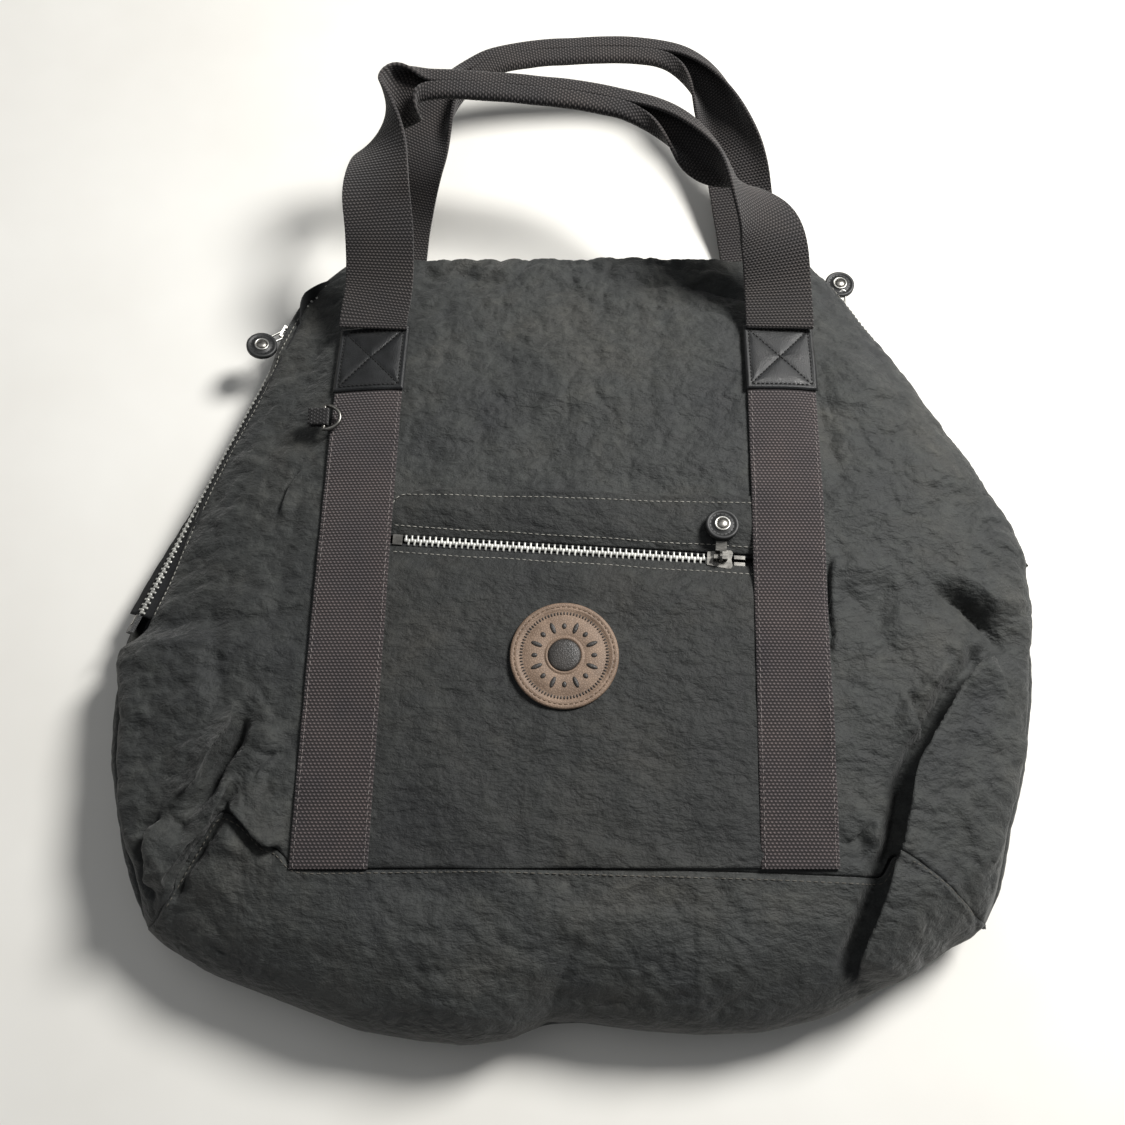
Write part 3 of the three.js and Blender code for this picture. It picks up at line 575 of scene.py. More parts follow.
def smoothed(values, spread, axis):
    """values blurred along one axis by spread samples."""
    reach = max(1, int(3 * spread))
    kernel = np.exp(-0.5 * (np.arange(-reach, reach + 1) / spread) ** 2)
    kernel = kernel / kernel.sum()
    pad = [(0, 0)] * values.ndim
    pad[axis] = (reach, reach)
    padded = np.pad(values, pad, mode="edge")
    return np.apply_along_axis(lambda row: np.convolve(row, kernel, "valid"), axis, padded)


def run_along(path):
    """How far along a path each of its points is."""
    return np.concatenate([[0], np.cumsum(np.linalg.norm(np.diff(path, axis=0), axis=1))])


def read_along(table, run, at):
    """The rows of a table that is known at the distances run, read at the distances at."""
    return np.stack([np.interp(at, run, column) for column in table.T], -1)


def resampled_rows(rows, count):
    """Each row of dense points, spaced evenly along its own length."""
    made = []
    for row in rows:
        run = run_along(row)
        made.append(read_along(row, run, np.linspace(0, run[-1], count)))
    return np.array(made)


# ---- shell ----------------------------------------------------------------------------------------

DENSE = 1500  # points in a row before it is spaced evenly
SEAM_DIP = 1.3


def spread_samples():
    """Shares from 0 to 1 that crowd towards both ends, where the sheet turns steeply."""
    t = np.linspace(-1, 1, DENSE)
    return (np.sin(t * math.pi / 2) * 0.75 + np.sin(t * math.pi / 2) ** 3 * 0.25 + 1) / 2


def front_row(share, y_row, x0, x1):
    """A front row's x and y: low rows follow the base seam, and the rest run straight across."""
    x = x0 + (x1 - x0) * share
    low_x = CORNERS[0] + (CORNERS[1] - CORNERS[0]) * share
    follow = (1 - smoothstep(LOWEST_ROW, -60, y_row)) ** 1.3
    return x, y_row + (base_seam(low_x) - base_seam(CORNERS[0])) * follow


def front_rows():
    """Dense rows of the front panel, from the base seam to the mouth."""
    share = spread_samples()
    rows = []
    for y_row in np.linspace(LOWEST_ROW, MOUTH_Y, int(400 / GRID)):
        ends = [front_end(side, np.array(y_row)) for side in (-1, 1)]
        x, y = front_row(share, y_row, float(ends[0][0]), float(ends[1][0]))
        rows.append(np.stack([x, y, front_height(x, y)], -1))
    return rows


def base_rows(height, seam):
    """Dense rows of one half of the base, from the bottom edge to its seam."""
    share = spread_samples()
    x = CORNERS[0] + (CORNERS[1] - CORNERS[0]) * share
    low, high = bottom_edge(x), seam(x)
    rows = []
    for v in 1 - np.cos(np.linspace(0, math.pi / 2, int(100 / GRID))):
        y = low + (high - low) * v
        rows.append(np.stack([x, y, height(x, y)], -1))
    return rows


def back_seam(x):
    """The base's seam on the back: straight, but lower at the corners."""
    return LOWEST_ROW + 31 * smoothstep(222, 188, np.abs(x))


def back_rows():
    """Dense rows of the back panel, which wraps round the sides to meet the front."""
    share = spread_samples()
    turn = np.linspace(0, math.pi / 2, 24)[:-1]
    rows = []
    for y_row in np.linspace(LOWEST_ROW, MOUTH_Y + 4, int(400 / (2 * GRID))):
        y0 = np.array(y_row)
        x0, x1 = float(left_edge(y0)), float(right_edge(y0))
        x = x0 + (x1 - x0) * share
        low_x = CORNERS[0] + (CORNERS[1] - CORNERS[0]) * share
        follow = (1 - smoothstep(LOWEST_ROW, -100, y_row)) ** 1.2
        y = y_row + (back_seam(low_x) - LOWEST_ROW) * follow
        under = np.stack([x, y, back_height(x, y)], -1)
        rim = float(rim_at(y0))
        arcs = []
        for side, edge in ((-1, x0), (1, x1)):
            end_x, end_z = (float(v) for v in back_end(side, y0))
            arc_x = end_x + (edge - end_x) * np.sin(turn)
            arc_z = rim + (end_z - rim) * np.cos(turn)
            arcs.append(np.stack([arc_x, np.full_like(arc_x, y_row), arc_z], -1))
        rows.append(np.concatenate([arcs[0], under, arcs[1][::-1]]))
    return rows


def under_pocket(x, y):
    """The shell is cut away below the pocket's zip; here it dips out of the zip's way."""
    inside = smoothstep(-116, -108, x) * (1 - smoothstep(110, 118, x))
    return -9.5 * inside * (1 - smoothstep(14, 22, np.abs(y - pocket_zip_y(x))))


def shell_relief(x, y):
    """Folds, slow waves and crinkle over the plan, in mm."""
    free = sewn_flat(x, y)
    gathered = 1 + 0.5 * smoothstep(120, 195, y) + 0.4 * smoothstep(150, 230, np.abs(x))
    fine = 2.1 * crinkle(x, y, 40, size=19, stretch=1.3)
    fine = fine + 0.9 * crinkle(x + 7, y - 3, 70, size=9, stretch=1.2)
    relief = fold_relief(x, y) + soft_waves(x, y) + fine * gathered * (0.08 + 0.92 * free)
    return relief + under_pocket(x, y)


def relieved(points, relief):
    """The grid moved out along its normals by relief, with the tucks' edges tipped over."""
    normals = grid_normals(points)
    up = np.clip(normals[..., 2:], 0, 1)
    lift = unit(normals * (1 - 0.5 * up) + UP * 0.5 * up)
    lift[..., :2] *= 0.3
    x, y = points[..., 0], points[..., 1]
    amount = relief(x, y)
    columns = points.shape[1]
    c = np.arange(columns)
    near_side = np.minimum(c, columns - 1 - c) * GRID
    amount = amount * smoothstep(0, 14, near_side)[None, :]
    moved = points + lift * amount[..., None]
    moved[..., :2] += tuck_push(x, y) * smoothstep(0, 10, near_side)[None, :, None]
    return moved


def mouth_edge(x):
    """The wavering line of the mouth's folded edge, as a shift in y."""
    long_waves = gradient_noise(x / 38, np.full_like(x, 3.3), 21)
    short_waves = gradient_noise(x / 15, np.full_like(x, 1.3), 22)
    return 1.6 * long_waves + 0.8 * short_waves


def with_hem(points):
    """The sheet's last row turned over and down inside the mouth."""
    last = points[-1].copy()
    inner = []
    turn = [(0.7, 0), (1.57, 0), (2.4, 0), (3.1, 0), (3.1, 3), (3.1, 6), (3.1, 10), (3.1, HEM)]
    for angle, depth in turn:
        ring = last.copy()
        ring[:, 1] += HEM_ROUNDING * math.sin(angle) - depth
        ring[:, 2] -= HEM_ROUNDING * (1 - math.cos(angle)) * np.sign(last[:, 2] - MOUTH_Z)
        inner.append(ring)
    return np.concatenate([points, np.array(inner)])


def columns_for(width):
    """How many points of the mesh a row of that length has."""
    return int(width / GRID)


def make_front(material):
    """The front panel. Its grid is returned, for the stitches beside the zips."""
    points = resampled_rows(front_rows(), columns_for(SHEET_W))
    points[..., 1] += mouth_edge(points[..., 0]) * smoothstep(150, MOUTH_Y, points[..., 1])
    points = relieved(points, shell_relief)
    points[0, :, 2] -= SEAM_DIP
    points = with_hem(points)
    piece = make_sheet("shell_front", points, material)
    thicken(piece, 0.9)
    finish_piece(piece, "bag", "nylon", "front_panel")
    return points


def base_relief(x, y):
    """The base is the same cloth, standing a little proud along its seam."""
    below = base_seam(x) - y
    welt = 0.7 * np.exp(-(((below - 3) / 2.5) ** 2))
    return shell_relief(x, y) + welt - SEAM_DIP * np.exp(-np.abs(below))


def make_base(material):
    """The base panel: one sheet from its front seam, round the bottom edge, to its back seam."""
    front = resampled_rows(base_rows(front_height, base_seam), columns_for(SHEET_W))
    front = relieved(front, base_relief)
    back = resampled_rows(base_rows(back_height, back_seam), columns_for(SHEET_W))
    # The two halves share the bottom edge's row.
    back[0] = front[0]
    points = np.concatenate([front[::-1], back[1:]])
    piece = make_sheet("shell_base", points, material, flipped=True)
    thicken(piece, 1.0)
    finish_piece(piece, "bag", "nylon", "base_panel")


def back_relief(x, y):
    waves = gradient_noise(x / 50, y / 40, 9) * smoothstep(-210, -150, y)
    return 0.8 * crinkle(x, y, 140) + 0.9 * waves


def make_back(material):
    """The back panel, pressed flat where it meets the floor."""
    points = resampled_rows(back_rows(), columns_for(BACK_SHEET_W) // 2)
    normals = -grid_normals(points)
    relief = back_relief(points[..., 0], points[..., 1])
    flat = np.where(points[..., 2] < 12, -np.abs(relief), relief)
    points = points + normals * flat[..., None]
    points[..., 2] = np.maximum(points[..., 2], 0.6)
    # The back panel shows past the front one at the right of the mouth.
    past = 4.0 * np.exp(-(((points[..., 0] - 75) / 60) ** 2))
    points[..., 1] += past * smoothstep(160, 200, points[..., 1])
    piece = make_sheet("shell_back", with_hem(points), material, flipped=True)
    thicken(piece, 0.9)
    finish_piece(piece, "bag", "nylon", "back_panel")


# ---- sewn-on cloth --------------------------------------------------------------------------------


def band_uvs(along, widths):
    """Cloth positions of a band's grid: mm across it, and mm along it."""
    u, v = np.meshgrid(widths, along)
    return np.stack([u, v], -1).reshape(-1, 2)


def edge_widths(width, spacing=1.0):
    return np.linspace(-width / 2, width / 2, int(width / spacing) + 1)


def make_strap(side, front, material):
    """A strap sewn flat to the shell, from the base seam to the leather patch."""
    along = np.arange(-173.0, 139.0, 1.5)
    widths = edge_widths(WEBBING_W)
    y, w = np.meshgrid(along, widths, indexing="ij")
    x = strap_x(side, y) + w
    if front:
        z = smoothed(smoothed(base_surface(x, y), 3, 0), 4, 1) + 2.5
        z += 0.5 * gradient_noise(x / 30, y / 26, 60) - 0.5 * (np.abs(w) / 20) ** 6
        z += 0.35 * gradient_noise(x / 9, y / 11, 61) * (np.abs(w) / 20) ** 2
    else:
        z = np.maximum(back_height(x, y) - 1.2, 2.4)
    points = np.stack([x, y, z], -1)
    name = ("webbing_front_" if front else "webbing_back_") + side_name(side)
    piece = make_sheet(name + "_cloth", points, material, band_uvs(along, widths))
    thicken(piece, 1.9)
    finish_piece(piece, "bag", "webbing", name)
    return points


def overlay_height(x, y):
    """The outer pocket cloth over the shell, with crinkles of its own that die out at its edges."""
    left = x - (strap_x(-1, y) + 20)
    right = (strap_x(1, y) - 20) - x
    free = smoothstep(-2, 14, left) * smoothstep(-2, 14, right) * smoothstep(-172, -158, y)
    to_zip = np.abs(y - pocket_zip_y(x))
    free = free * smoothstep(6, 16, to_zip)
    fine = 0.8 * crinkle(x, y, 200) + 0.35 * crinkle(x, y, 230, size=7.5, stretch=1.3)
    swell = 1.1 * gradient_noise(x / 33, y / 30, 207)
    puckers = 1.3 * np.exp(-(((y + 166) / 7) ** 2)) * gradient_noise(x / 9, y / 22, 208)
    return base_surface(x, y) + 1.3 + free * (fine + swell) + puckers * smoothstep(-173, -168, y)


def zip_trough(x, y):
    """The cloth dips towards the pocket's zip."""
    inside = smoothstep(-108, -98, x) * (1 - smoothstep(100, 110, x))
    return -4.3 * inside * np.exp(-(((y - pocket_zip_y(x)) / 11) ** 2))


def make_pocket(material):
    """The pocket's panel below its zip and its band above, each with a folded edge at the zip."""
    share = np.linspace(0, 1, 132)

    def above_zip(x):
        return pocket_zip_y(x) + ZIP_OPENING

    def below_zip(x):
        return pocket_zip_y(x) - ZIP_OPENING

    def bottom(x):
        return np.full_like(x, POCKET_BOTTOM)

    def band_top(x):
        return pocket_top(x) + 1.5

    def sheet(low, high, rows):
        made = []
        for t in np.linspace(0, 1, rows):
            x_guess = -100 + 200 * share
            y = low(x_guess) + (high(x_guess) - low(x_guess)) * t
            x = strap_x(-1, y) + 12 + (strap_x(1, y) - strap_x(-1, y) - 24) * share
            made.append(np.stack([x, y, overlay_height(x, y) + zip_trough(x, y)], -1))
        return np.array(made)

    def turned_under(points, direction):
        """The folded edge beside the zip, rolled down on to the tape."""
        last = points[-1] if direction < 0 else points[0]
        ring = []
        for angle in (0.8, 1.6, 2.4, 3.1):
            row = last.copy()
            row[:, 1] -= direction * FOLD_ROUNDING * math.sin(angle)
            row[:, 2] -= FOLD_ROUNDING * (1 - math.cos(angle))
            ring.append(row)
        back = ring[-1].copy()
        back[:, 1] += direction * 4
        ring.append(back)
        ring = np.array(ring)
        return np.concatenate([points, ring] if direction < 0 else [ring[::-1], points])

    lower = turned_under(sheet(bottom, below_zip, 120), -1)
    upper = sheet(above_zip, band_top, 24)
    # The band's corner beside the left strap is rounded off.
    corner_x = upper[..., 0] - (strap_x(-1, upper[..., 1]) + 20)
    drop = 7 * np.exp(-np.maximum(corner_x, 0) / 7) * smoothstep(14, 30, upper[..., 1])
    upper[..., 1] -= drop
    upper = turned_under(upper, 1)
    for name, points, node in (
        ("pocket_front", lower, "pocket_panel"),
        ("pocket_band", upper, "pocket_facing"),
    ):
        piece = make_sheet(name, points, material)
        thicken(piece, 0.8)
        finish_piece(piece, "bag", "nylon", node)


# ---- handles --------------------------------------------------------------------------------------

FRONT_HANDLE = [
    (-115.5, 139, 51.5), (-115, 146, 53), (-112, 166, 58), (-111, 190, 73), (-112.5, 213, 84),
    (-111.5, 236, 87), (-109, 256, 86.5), (-105, 270, 86.5), (-97, 278, 89), (-84, 280, 91),
    (-60, 279, 92), (-22, 275.5, 92), (10, 271, 92), (38, 263.5, 92), (66, 248, 91.5),
    (92, 226, 86), (106, 211, 82), (117, 196, 77), (122, 182, 70), (125, 165, 58), (126, 146, 53),
    (126, 139, 51.5),
]
BACK_HANDLE = [
    (-115.5, 139, 2.6), (-115, 146, 2.6), (-114, 172, 2.6), (-112, 206, 3.5), (-108, 240, 12),
    (-98, 276, 27), (-80, 311, 38), (-54, 334, 43), (-24, 342, 44), (11, 345, 44), (46, 345, 44),
    (74, 337, 43), (96, 314, 38), (108, 280, 28), (115, 244, 13), (121, 206, 3.5), (125, 172, 2.6),
    (126, 146, 2.6), (126, 139, 2.6),
]
# How each handle is folded on its way: a point on it, the roll about its own line in degrees (180 is
# outer face up, 0 is folded edges up), and how far its edges are folded in.
FRONT_FOLDING = [
    ((-112.5, 205, 81), 180, 0.0), ((-112, 236, 89), 152, 0.0), ((-107, 264, 92), 100, 0.0),
    ((-99, 277, 92), 36, 0.22), ((-84, 280, 92), 5, 1.0), ((-60, 279, 92), 0, 1.0),
    ((36, 264, 92), 0, 1.0), ((50, 257, 92), 20, 0.85), ((68, 246, 91), 50, 0.6),
    ((88, 229, 88), 86, 0.22), ((103, 213, 84), 132, 0.02), ((117, 196, 77), 168, 0.0),
    ((122, 182, 70), 180, 0.0),
]
BACK_FOLDING = [
    ((-108, 240, 12), 0, 0.0), ((-96, 280, 28), 12, 0.15), ((-78, 313, 39), 10, 0.6),
    ((-60, 331, 42), 0, 1.0), ((62, 342, 44), 0, 1.0), ((80, 332, 42), 22, 0.75),
    ((96, 314, 38), 40, 0.45), ((107, 284, 29), 28, 0.15), ((114, 250, 15), 0, 0.0),
]


def spline_through(points, spacing):
    """A smooth curve through points, sampled every spacing mm, with its tangents and lengths."""
    p = np.array(points, float)
    p = np.concatenate([[2 * p[0] - p[1]], p, [2 * p[-1] - p[-2]]])
    made = []
    for i in range(1, len(p) - 2):
        t = np.linspace(0, 1, 24, endpoint=False)[:, None]
        a, b, c, d = p[i - 1 : i + 3]
        square, cube = 2 * a - 5 * b + 4 * c - d, 3 * b - a - 3 * c + d
        made.append(0.5 * (2 * b + (c - a) * t + square * t**2 + cube * t**3))
    dense = np.concatenate(made + [p[-2:-1]])
    run = run_along(dense)
    at = np.linspace(0, run[-1], int(run[-1] / spacing) + 1)
    curve = read_along(dense, run, at)
    return curve, unit(np.gradient(curve, axis=0)), at


def folded_section(widths, fold):
    """The webbing's section with both selvedges folded in by fold (0 flat, 1 meeting in the middle)."""
    fine = np.linspace(-WEBBING_W / 2, WEBBING_W / 2, 401)
    step = fine[1] - fine[0]
    bent = (np.abs(fine) > 6.5) & (np.abs(fine) < 13.5)
    angle = np.cumsum(np.where(bent, math.pi / 7 * fold, 0.0)) * step
    angle = angle - np.interp(0, fine, angle)
    across = np.cumsum(np.cos(angle)) * step
    rise = np.cumsum(np.sin(angle)) * step
    across -= np.interp(0, fine, across)
    rise -= np.interp(0, fine, rise)
    return np.interp(widths, fine, across), np.interp(widths, fine, rise)


def folding_along(curve, at, folding):
    """Roll (radians) and fold at every station, eased between the places where they are given."""
    places = [at[np.argmin(np.linalg.norm(curve - np.array(point), axis=1))] for point, _, _ in folding]
    rolls = np.radians([roll for _, roll, _ in folding])
    folds = [fold for _, _, fold in folding]
    roll = smoothed(np.interp(at, places, rolls), 3.0, 0)
    fold = smoothed(np.interp(at, places, folds), 2.5, 0)
    return roll, fold


def make_handle(name, path, folding, material):
    """One length of webbing, flat at its ends and folded in half along its grip."""
    curve, tangent, at = spline_through(path, 1.6)
    across = unit(np.cross(tangent, UP))
    through = np.cross(across, tangent)
    widths = edge_widths(WEBBING_W, 0.8)
    roll, fold = folding_along(curve, at, folding)
    points = np.zeros((len(at), len(widths), 3))
    for i in range(len(at)):
        section_x, section_z = folded_section(widths, fold[i])
        open_way = math.cos(roll[i]) * through[i] + math.sin(roll[i]) * across[i]
        wide = np.cross(tangent[i], open_way)
        middle = curve[i] - open_way * 2.2 * fold[i]
        points[i] = middle + section_x[:, None] * wide + section_z[:, None] * open_way
    waver = 0.5 * gradient_noise(at[:, None] / 19 + widths[None, :] / 60, widths[None, :] / 40, 80)
    points += through[:, None] * waver[..., None]
    piece = make_sheet(name + "_webbing", points, material, band_uvs(at, widths))
    thicken(piece, 1.9, offset=0)
    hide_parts(name)
    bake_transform(piece)


# ---- stitching ------------------------------------------------------------------------------------

STITCH_PROFILE = ((0.0, 0.35), (0.12, 0.85), (0.5, 1.0), (0.88, 0.85), (1.0, 0.35))  # along it, width
STITCH_SIDES = 6
STITCH_CAPS = [[5, 4, 1, 0], [4, 3, 2, 1], [24, 25, 28, 29], [25, 26, 27, 28]]


def stitch_parts(path, normal, pitch=3.2, length=2.3, radius=0.34, sink=0.1):
    """Thread showing along a path: one short rounded capsule for each stitch."""
    path = np.asarray(path, float)
    normal = np.broadcast_to(np.asarray(normal, float), path.shape)
    run = run_along(path)
    at = np.arange(pitch / 2, run[-1] - pitch / 2, pitch)
    outward = unit(read_along(normal, run, at))
    start = read_along(path, run, at - length / 2)
    end = read_along(path, run, at + length / 2)
    travel = unit(end - start)
    side = unit(np.cross(outward, travel))
    rings = []
    for share, size in STITCH_PROFILE:
        height = radius * size - sink - (1 - size) * 0.5
        middle = start + (end - start) * share + outward * height
        ring = []
        for k in range(STITCH_SIDES):
            angle = k * 2 * math.pi / STITCH_SIDES
            spoke = side * math.cos(angle) + outward * math.sin(angle)
            ring.append(middle + spoke * radius * size)
        rings.append(np.stack(ring, 1))
    points = np.stack(rings, 1)
    return points.reshape(-1, 3), repeated_faces(len(STITCH_PROFILE), STITCH_SIDES, STITCH_CAPS, len(at))


def make_stitches(name, paths, material, body, slot, **settings):
    """One object for rows of stitches, each along a path with its surface's normal."""
    parts = [stitch_parts(path, normal, **settings) for path, normal in paths]
    piece = joined_mesh(name, parts, material)
    return finish_piece(piece, body, slot)


def over_surface(x, y, height):
    """Points of a sewing line on a surface given by a height function."""
    return np.stack([x, y, height(x, y)], -1)


def pocket_surface(x, y):
    """Just over the pocket's cloth, where its thread lies."""
    return overlay_height(x, y) + zip_trough(x, y) + 0.05


def sew_pocket(material):
    """A row along the pocket's top edge, round its left corner, and a row on each side of its zip."""
    left, right, radius = -98.0, 105.0, 8
    corner = [(left, float(pocket_zip_y(left)) + 9.5)]
    for a in np.linspace(math.pi / 2, 0, 9):
        corner.append((
            left + radius - radius * math.sin(a),
            pocket_top(left) - 2.5 - radius + radius * math.cos(a),
        ))
    top = [(x, float(pocket_top(x)) - 2.5) for x in np.linspace(left + 9, right, 60)]
    lines = [np.array(corner + top)]
    for offset in (-7.8, 7.8):
        x = np.linspace(left + 1, right, 90)
        bow = 0.5 * gradient_noise(x / 24, np.full_like(x, 4.5), 90)
        lines.append(np.stack([x, pocket_zip_y(x) + offset + bow], -1))
    paths = [(over_surface(line[:, 0], line[:, 1], pocket_surface), UP) for line in lines]
    make_stitches("pocket_stitches", paths, material, "bag", "nylon", pitch=3.4, length=2.5, radius=0.3)


def base_front_surface(x, y):
    return front_height(x, y) + base_relief(x, y)


def sew_base(material):
    """A row just below the base's seam."""
    x = np.linspace(-206, 206, 420)
    paths = [(over_surface(x, base_seam(x) - 3.2, base_front_surface), UP)]
    make_stitches("base_stitches", paths, material, "bag", "nylon", pitch=3.6, length=2.5, radius=0.27)


def sew_band(name, grid, columns, material):
    """Rows of stitches along a strap, at the given columns of its grid."""
    normals = grid_normals(grid)
    paths = [(grid[:, k] + normals[:, k] * 0.05, normals[:, k]) for k in columns]
    make_stitches(name, paths, material, "bag", "webbing", pitch=3.6, length=2.4, radius=0.27)


def sew_side_zips(grid, material):
    """A line of stitches beside each zip, wider apart from it at the bottom."""
    normals = grid_normals(grid)
    paths = []
    for side in (-1, 1):
        low, high = zip_of(side)["start"][1] - 4, 186
        picked, facing = [], []
        for i in range(len(grid)):
            y = grid[i, 2 if side < 0 else -3, 1]
            if not low < y < high or i > len(grid) - 12:
                continue
            wanted = 5.0 - 3.2 * float(zip_turn(side, y))
            row = grid[i] if side < 0 else grid[i, ::-1]
            run = np.cumsum(np.linalg.norm(np.diff(row[:30], axis=0), axis=1))
            k = int(np.searchsorted(run, wanted)) + 1
            k = k if side < 0 else -k - 1
            picked.append(grid[i, k] + normals[i, k] * 0.1)
            facing.append(normals[i, k])
        paths.append((smoothed(np.array(picked), 2.0, 0), np.array(facing)))
    make_stitches("side_stitches", paths, material, "bag", "nylon", pitch=3.2, length=2.3, radius=0.3)


# ---- zips -----------------------------------------------------------------------------------------

TOOTH_PITCH = 3.3
TOOTH_OUTLINE = [
    (-0.6, 3.0), (0.6, 3.0), (0.5, 1.5), (1.0, 0.3), (0.75, -0.9), (-0.75, -0.9), (-1.0, 0.3), (-0.5, 1.5),
]
TOOTH_LEVELS = [(-1.35, 0.75), (-1.1, 1.0), (1.1, 1.0), (1.45, 0.72)]
TOOTH_CAPS = [
    [7, 2, 1, 0], [6, 3, 2, 7], [6, 5, 4, 3], [24, 25, 26, 31], [31, 26, 27, 30], [27, 28, 29, 30],
]


def teeth_parts(at, travel, across, outward):
    """One moulded tooth at each point: it reaches over the zip's axis, which lies at across 0."""
    rings = []
    for height, size in TOOTH_LEVELS:
        ring = []
        for s, a in TOOTH_OUTLINE:
            a = 1.0 + (a - 1.0) * size
            ring.append(at + travel * (s * size) + across * a + outward * height)
        rings.append(np.stack(ring, 1))
    points = np.stack(rings, 1)
    return points.reshape(-1, 3), repeated_faces(len(TOOTH_LEVELS), len(TOOTH_OUTLINE), TOOTH_CAPS, len(at))


def tape_parts(at, across, outward, near, far, ripple=0.0):
    """A strip of tape from near to far beside the axis, with a cord along its inner edge."""
    widths = np.array([near, near + 0.3, near + 1.2, (near + far) / 2, far - 0.5, far])
    lifts = np.array([0.0, 0.55, 0.0, 0.0, 0.0, 0.0])
    wave = ripple * np.sin(np.arange(len(at)) * 0.9)
    points = at[:, None] + across[:, None] * widths[None, :, None]
    rise = lifts[None, :] + wave[:, None] * (widths > near + 2)[None, :]
    points = points + outward[:, None] * rise[..., None]
    uvs = band_uvs(np.arange(len(at)) * 1.0, widths)
    return points.reshape(-1, 3), grid_faces(len(at), len(widths)), uvs


def plan_frame(start, end):
    """The direction from start to end, and the one level with the floor that points away from the bag."""
    travel = unit(end - start)
    out = np.array([travel[1], -travel[0], 0])
    return travel, out * np.sign(start[0]) * np.sign(out[0])


def main_zip_ends(zip_):
    """The lower and upper ends of a side's straight run of zip."""
    made = []
    for x, y in (zip_["start"], zip_["end"]):
        rim = np.interp(y, *np.array(RIM, float).T)
        made.append(np.array([x - np.sign(x) * zip_["inward"], y, rim + zip_["lift"]]))
    return made


def leaning(out, phi, side):
    """Directions across and out of a tape that leans by phi degrees from upright."""
    o = np.array([*out, 0.0]) / math.hypot(*out)
    across = np.array([0, 0, side * math.cos(math.radians(phi))]) + o * math.sin(math.radians(phi))
    along = np.array([o[1], -o[0], 0])
    return across, np.cross(across, along) * side


def main_zip_row(side):
    """Stations (point, across, outward) of one row, from the left end, over the mouth, to the right."""
    (left_start, left_end), (right_start, right_end) = main_zip_ends(LEFT_ZIP), main_zip_ends(RIGHT_ZIP)
    left_travel, left_out = plan_frame(left_start, left_end)
    right_travel, right_out = plan_frame(right_start, right_end)
    left_phi, right_phi = -side * LEFT_ZIP["lean"], -side * RIGHT_ZIP["lean"]

    def mouth_z(x):
        return height_at(front_height, x, 197) - 4 if side > 0 else height_at(back_height, x, 190) + 4

    def turned(phi, share):
        return phi + (90 - phi) * share

    stations = []
    for share in (0, 0.12, 0.25, 0.38, 0.5, 0.75, 1):
        point = left_start + (left_end + left_travel * 8 - left_start) * share
        turn = float(zip_turn(-1, point[1]))
        point = point - np.array([*left_out[:2], 0]) * turn
        stations.append((point, left_out[:2], left_phi - side * ZIP_ROLL[side] * turn))
    stations += [
        (np.array([-158, 171, 19 + side * 4]), (-0.86, 0.5), turned(left_phi, 0.5)),
        (np.array([-143, 179, 17 + side * 3]), (-0.6, 0.8), turned(left_phi, 0.85)),
    ]
    for x in (-128, -95, -50, 7, 65, 108, 140):
        stations.append((np.array([x, 184, mouth_z(x)]), (0, 1), 90))
    stations += [
        (np.array([153, 175, 17 + side * 3.5]), (0.6, 0.8), turned(right_phi, 0.7)),
        (right_end + right_travel * 8, right_out[:2], right_phi),
        (right_start, right_out[:2], right_phi),
    ]
    points = np.array([s[0] for s in stations], float)
    frames = [leaning(out, phi, side) for _, out, phi in stations]
    across = np.array([f[0] for f in frames])
    outward = np.array([f[1] for f in frames])
    return points, across, outward


def sampled(points, across, outward, spacing, first=0.0):
    """The stations' frame at even steps along the path, with the direction of travel."""
    run = run_along(points)
    at = np.arange(first, run[-1], spacing)
    centre, b, n = (read_along(table, run, at) for table in (points, across, outward))
    travel = unit(np.gradient(centre, axis=0))
    b = unit(b)
    b = unit(b - travel * (b * travel).sum(-1, keepdims=True))
    n = unit(n - b * (b * n).sum(-1, keepdims=True))
    return at, run[-1], centre, travel, b, n


def make_main_zip(tape_material, teeth_material):
    """Both rows of the main zip. Between the two sliders its teeth stand apart."""
    for name, side in (("front", 1), ("back", -1)):
        row = main_zip_row(side)
        _, _, centre, _, b, n = sampled(*row, 2.0)
        parts = [tape_parts(centre, b, n, 2.2, 11.0, 0.12)]
        tape = joined_mesh("side_tape_" + name, parts, tape_material, with_uvs=True)
        thicken(tape, 0.7, offset=0)
        finish_piece(tape, "bag", "zip_tape", "main_tape_" + name)
        first = 2.0 if side > 0 else 2.0 + 0.5 * TOOTH_PITCH
        at, total, centre, travel, b, n = sampled(*row, TOOTH_PITCH, first)
        past_slider = np.minimum(at, total - at) - SLIDER_AT
        centre = centre + b * np.where(past_slider > 0, 1.4, 0.0)[:, None]
        keep = np.abs(past_slider) > SLIDER_GAP
        parts = [teeth_parts(centre[keep], travel[keep], b[keep], n[keep])]
        teeth = joined_mesh("side_teeth_" + name, parts, teeth_material)
        finish_piece(teeth, "bag", "zip_teeth", "main_teeth_" + name)


def pocket_zip_frame():
    """Where the pocket's zip starts, and its directions along and across."""
    z = float(np.interp(-2, *np.array(CROWN, float).T)) - 4.4
    start = np.array([*POCKET_ZIP_START, z])
    travel = unit(np.array([*(POCKET_ZIP_END - POCKET_ZIP_START), 0.0]))
    return start, travel, np.array([-travel[1], travel[0], 0])


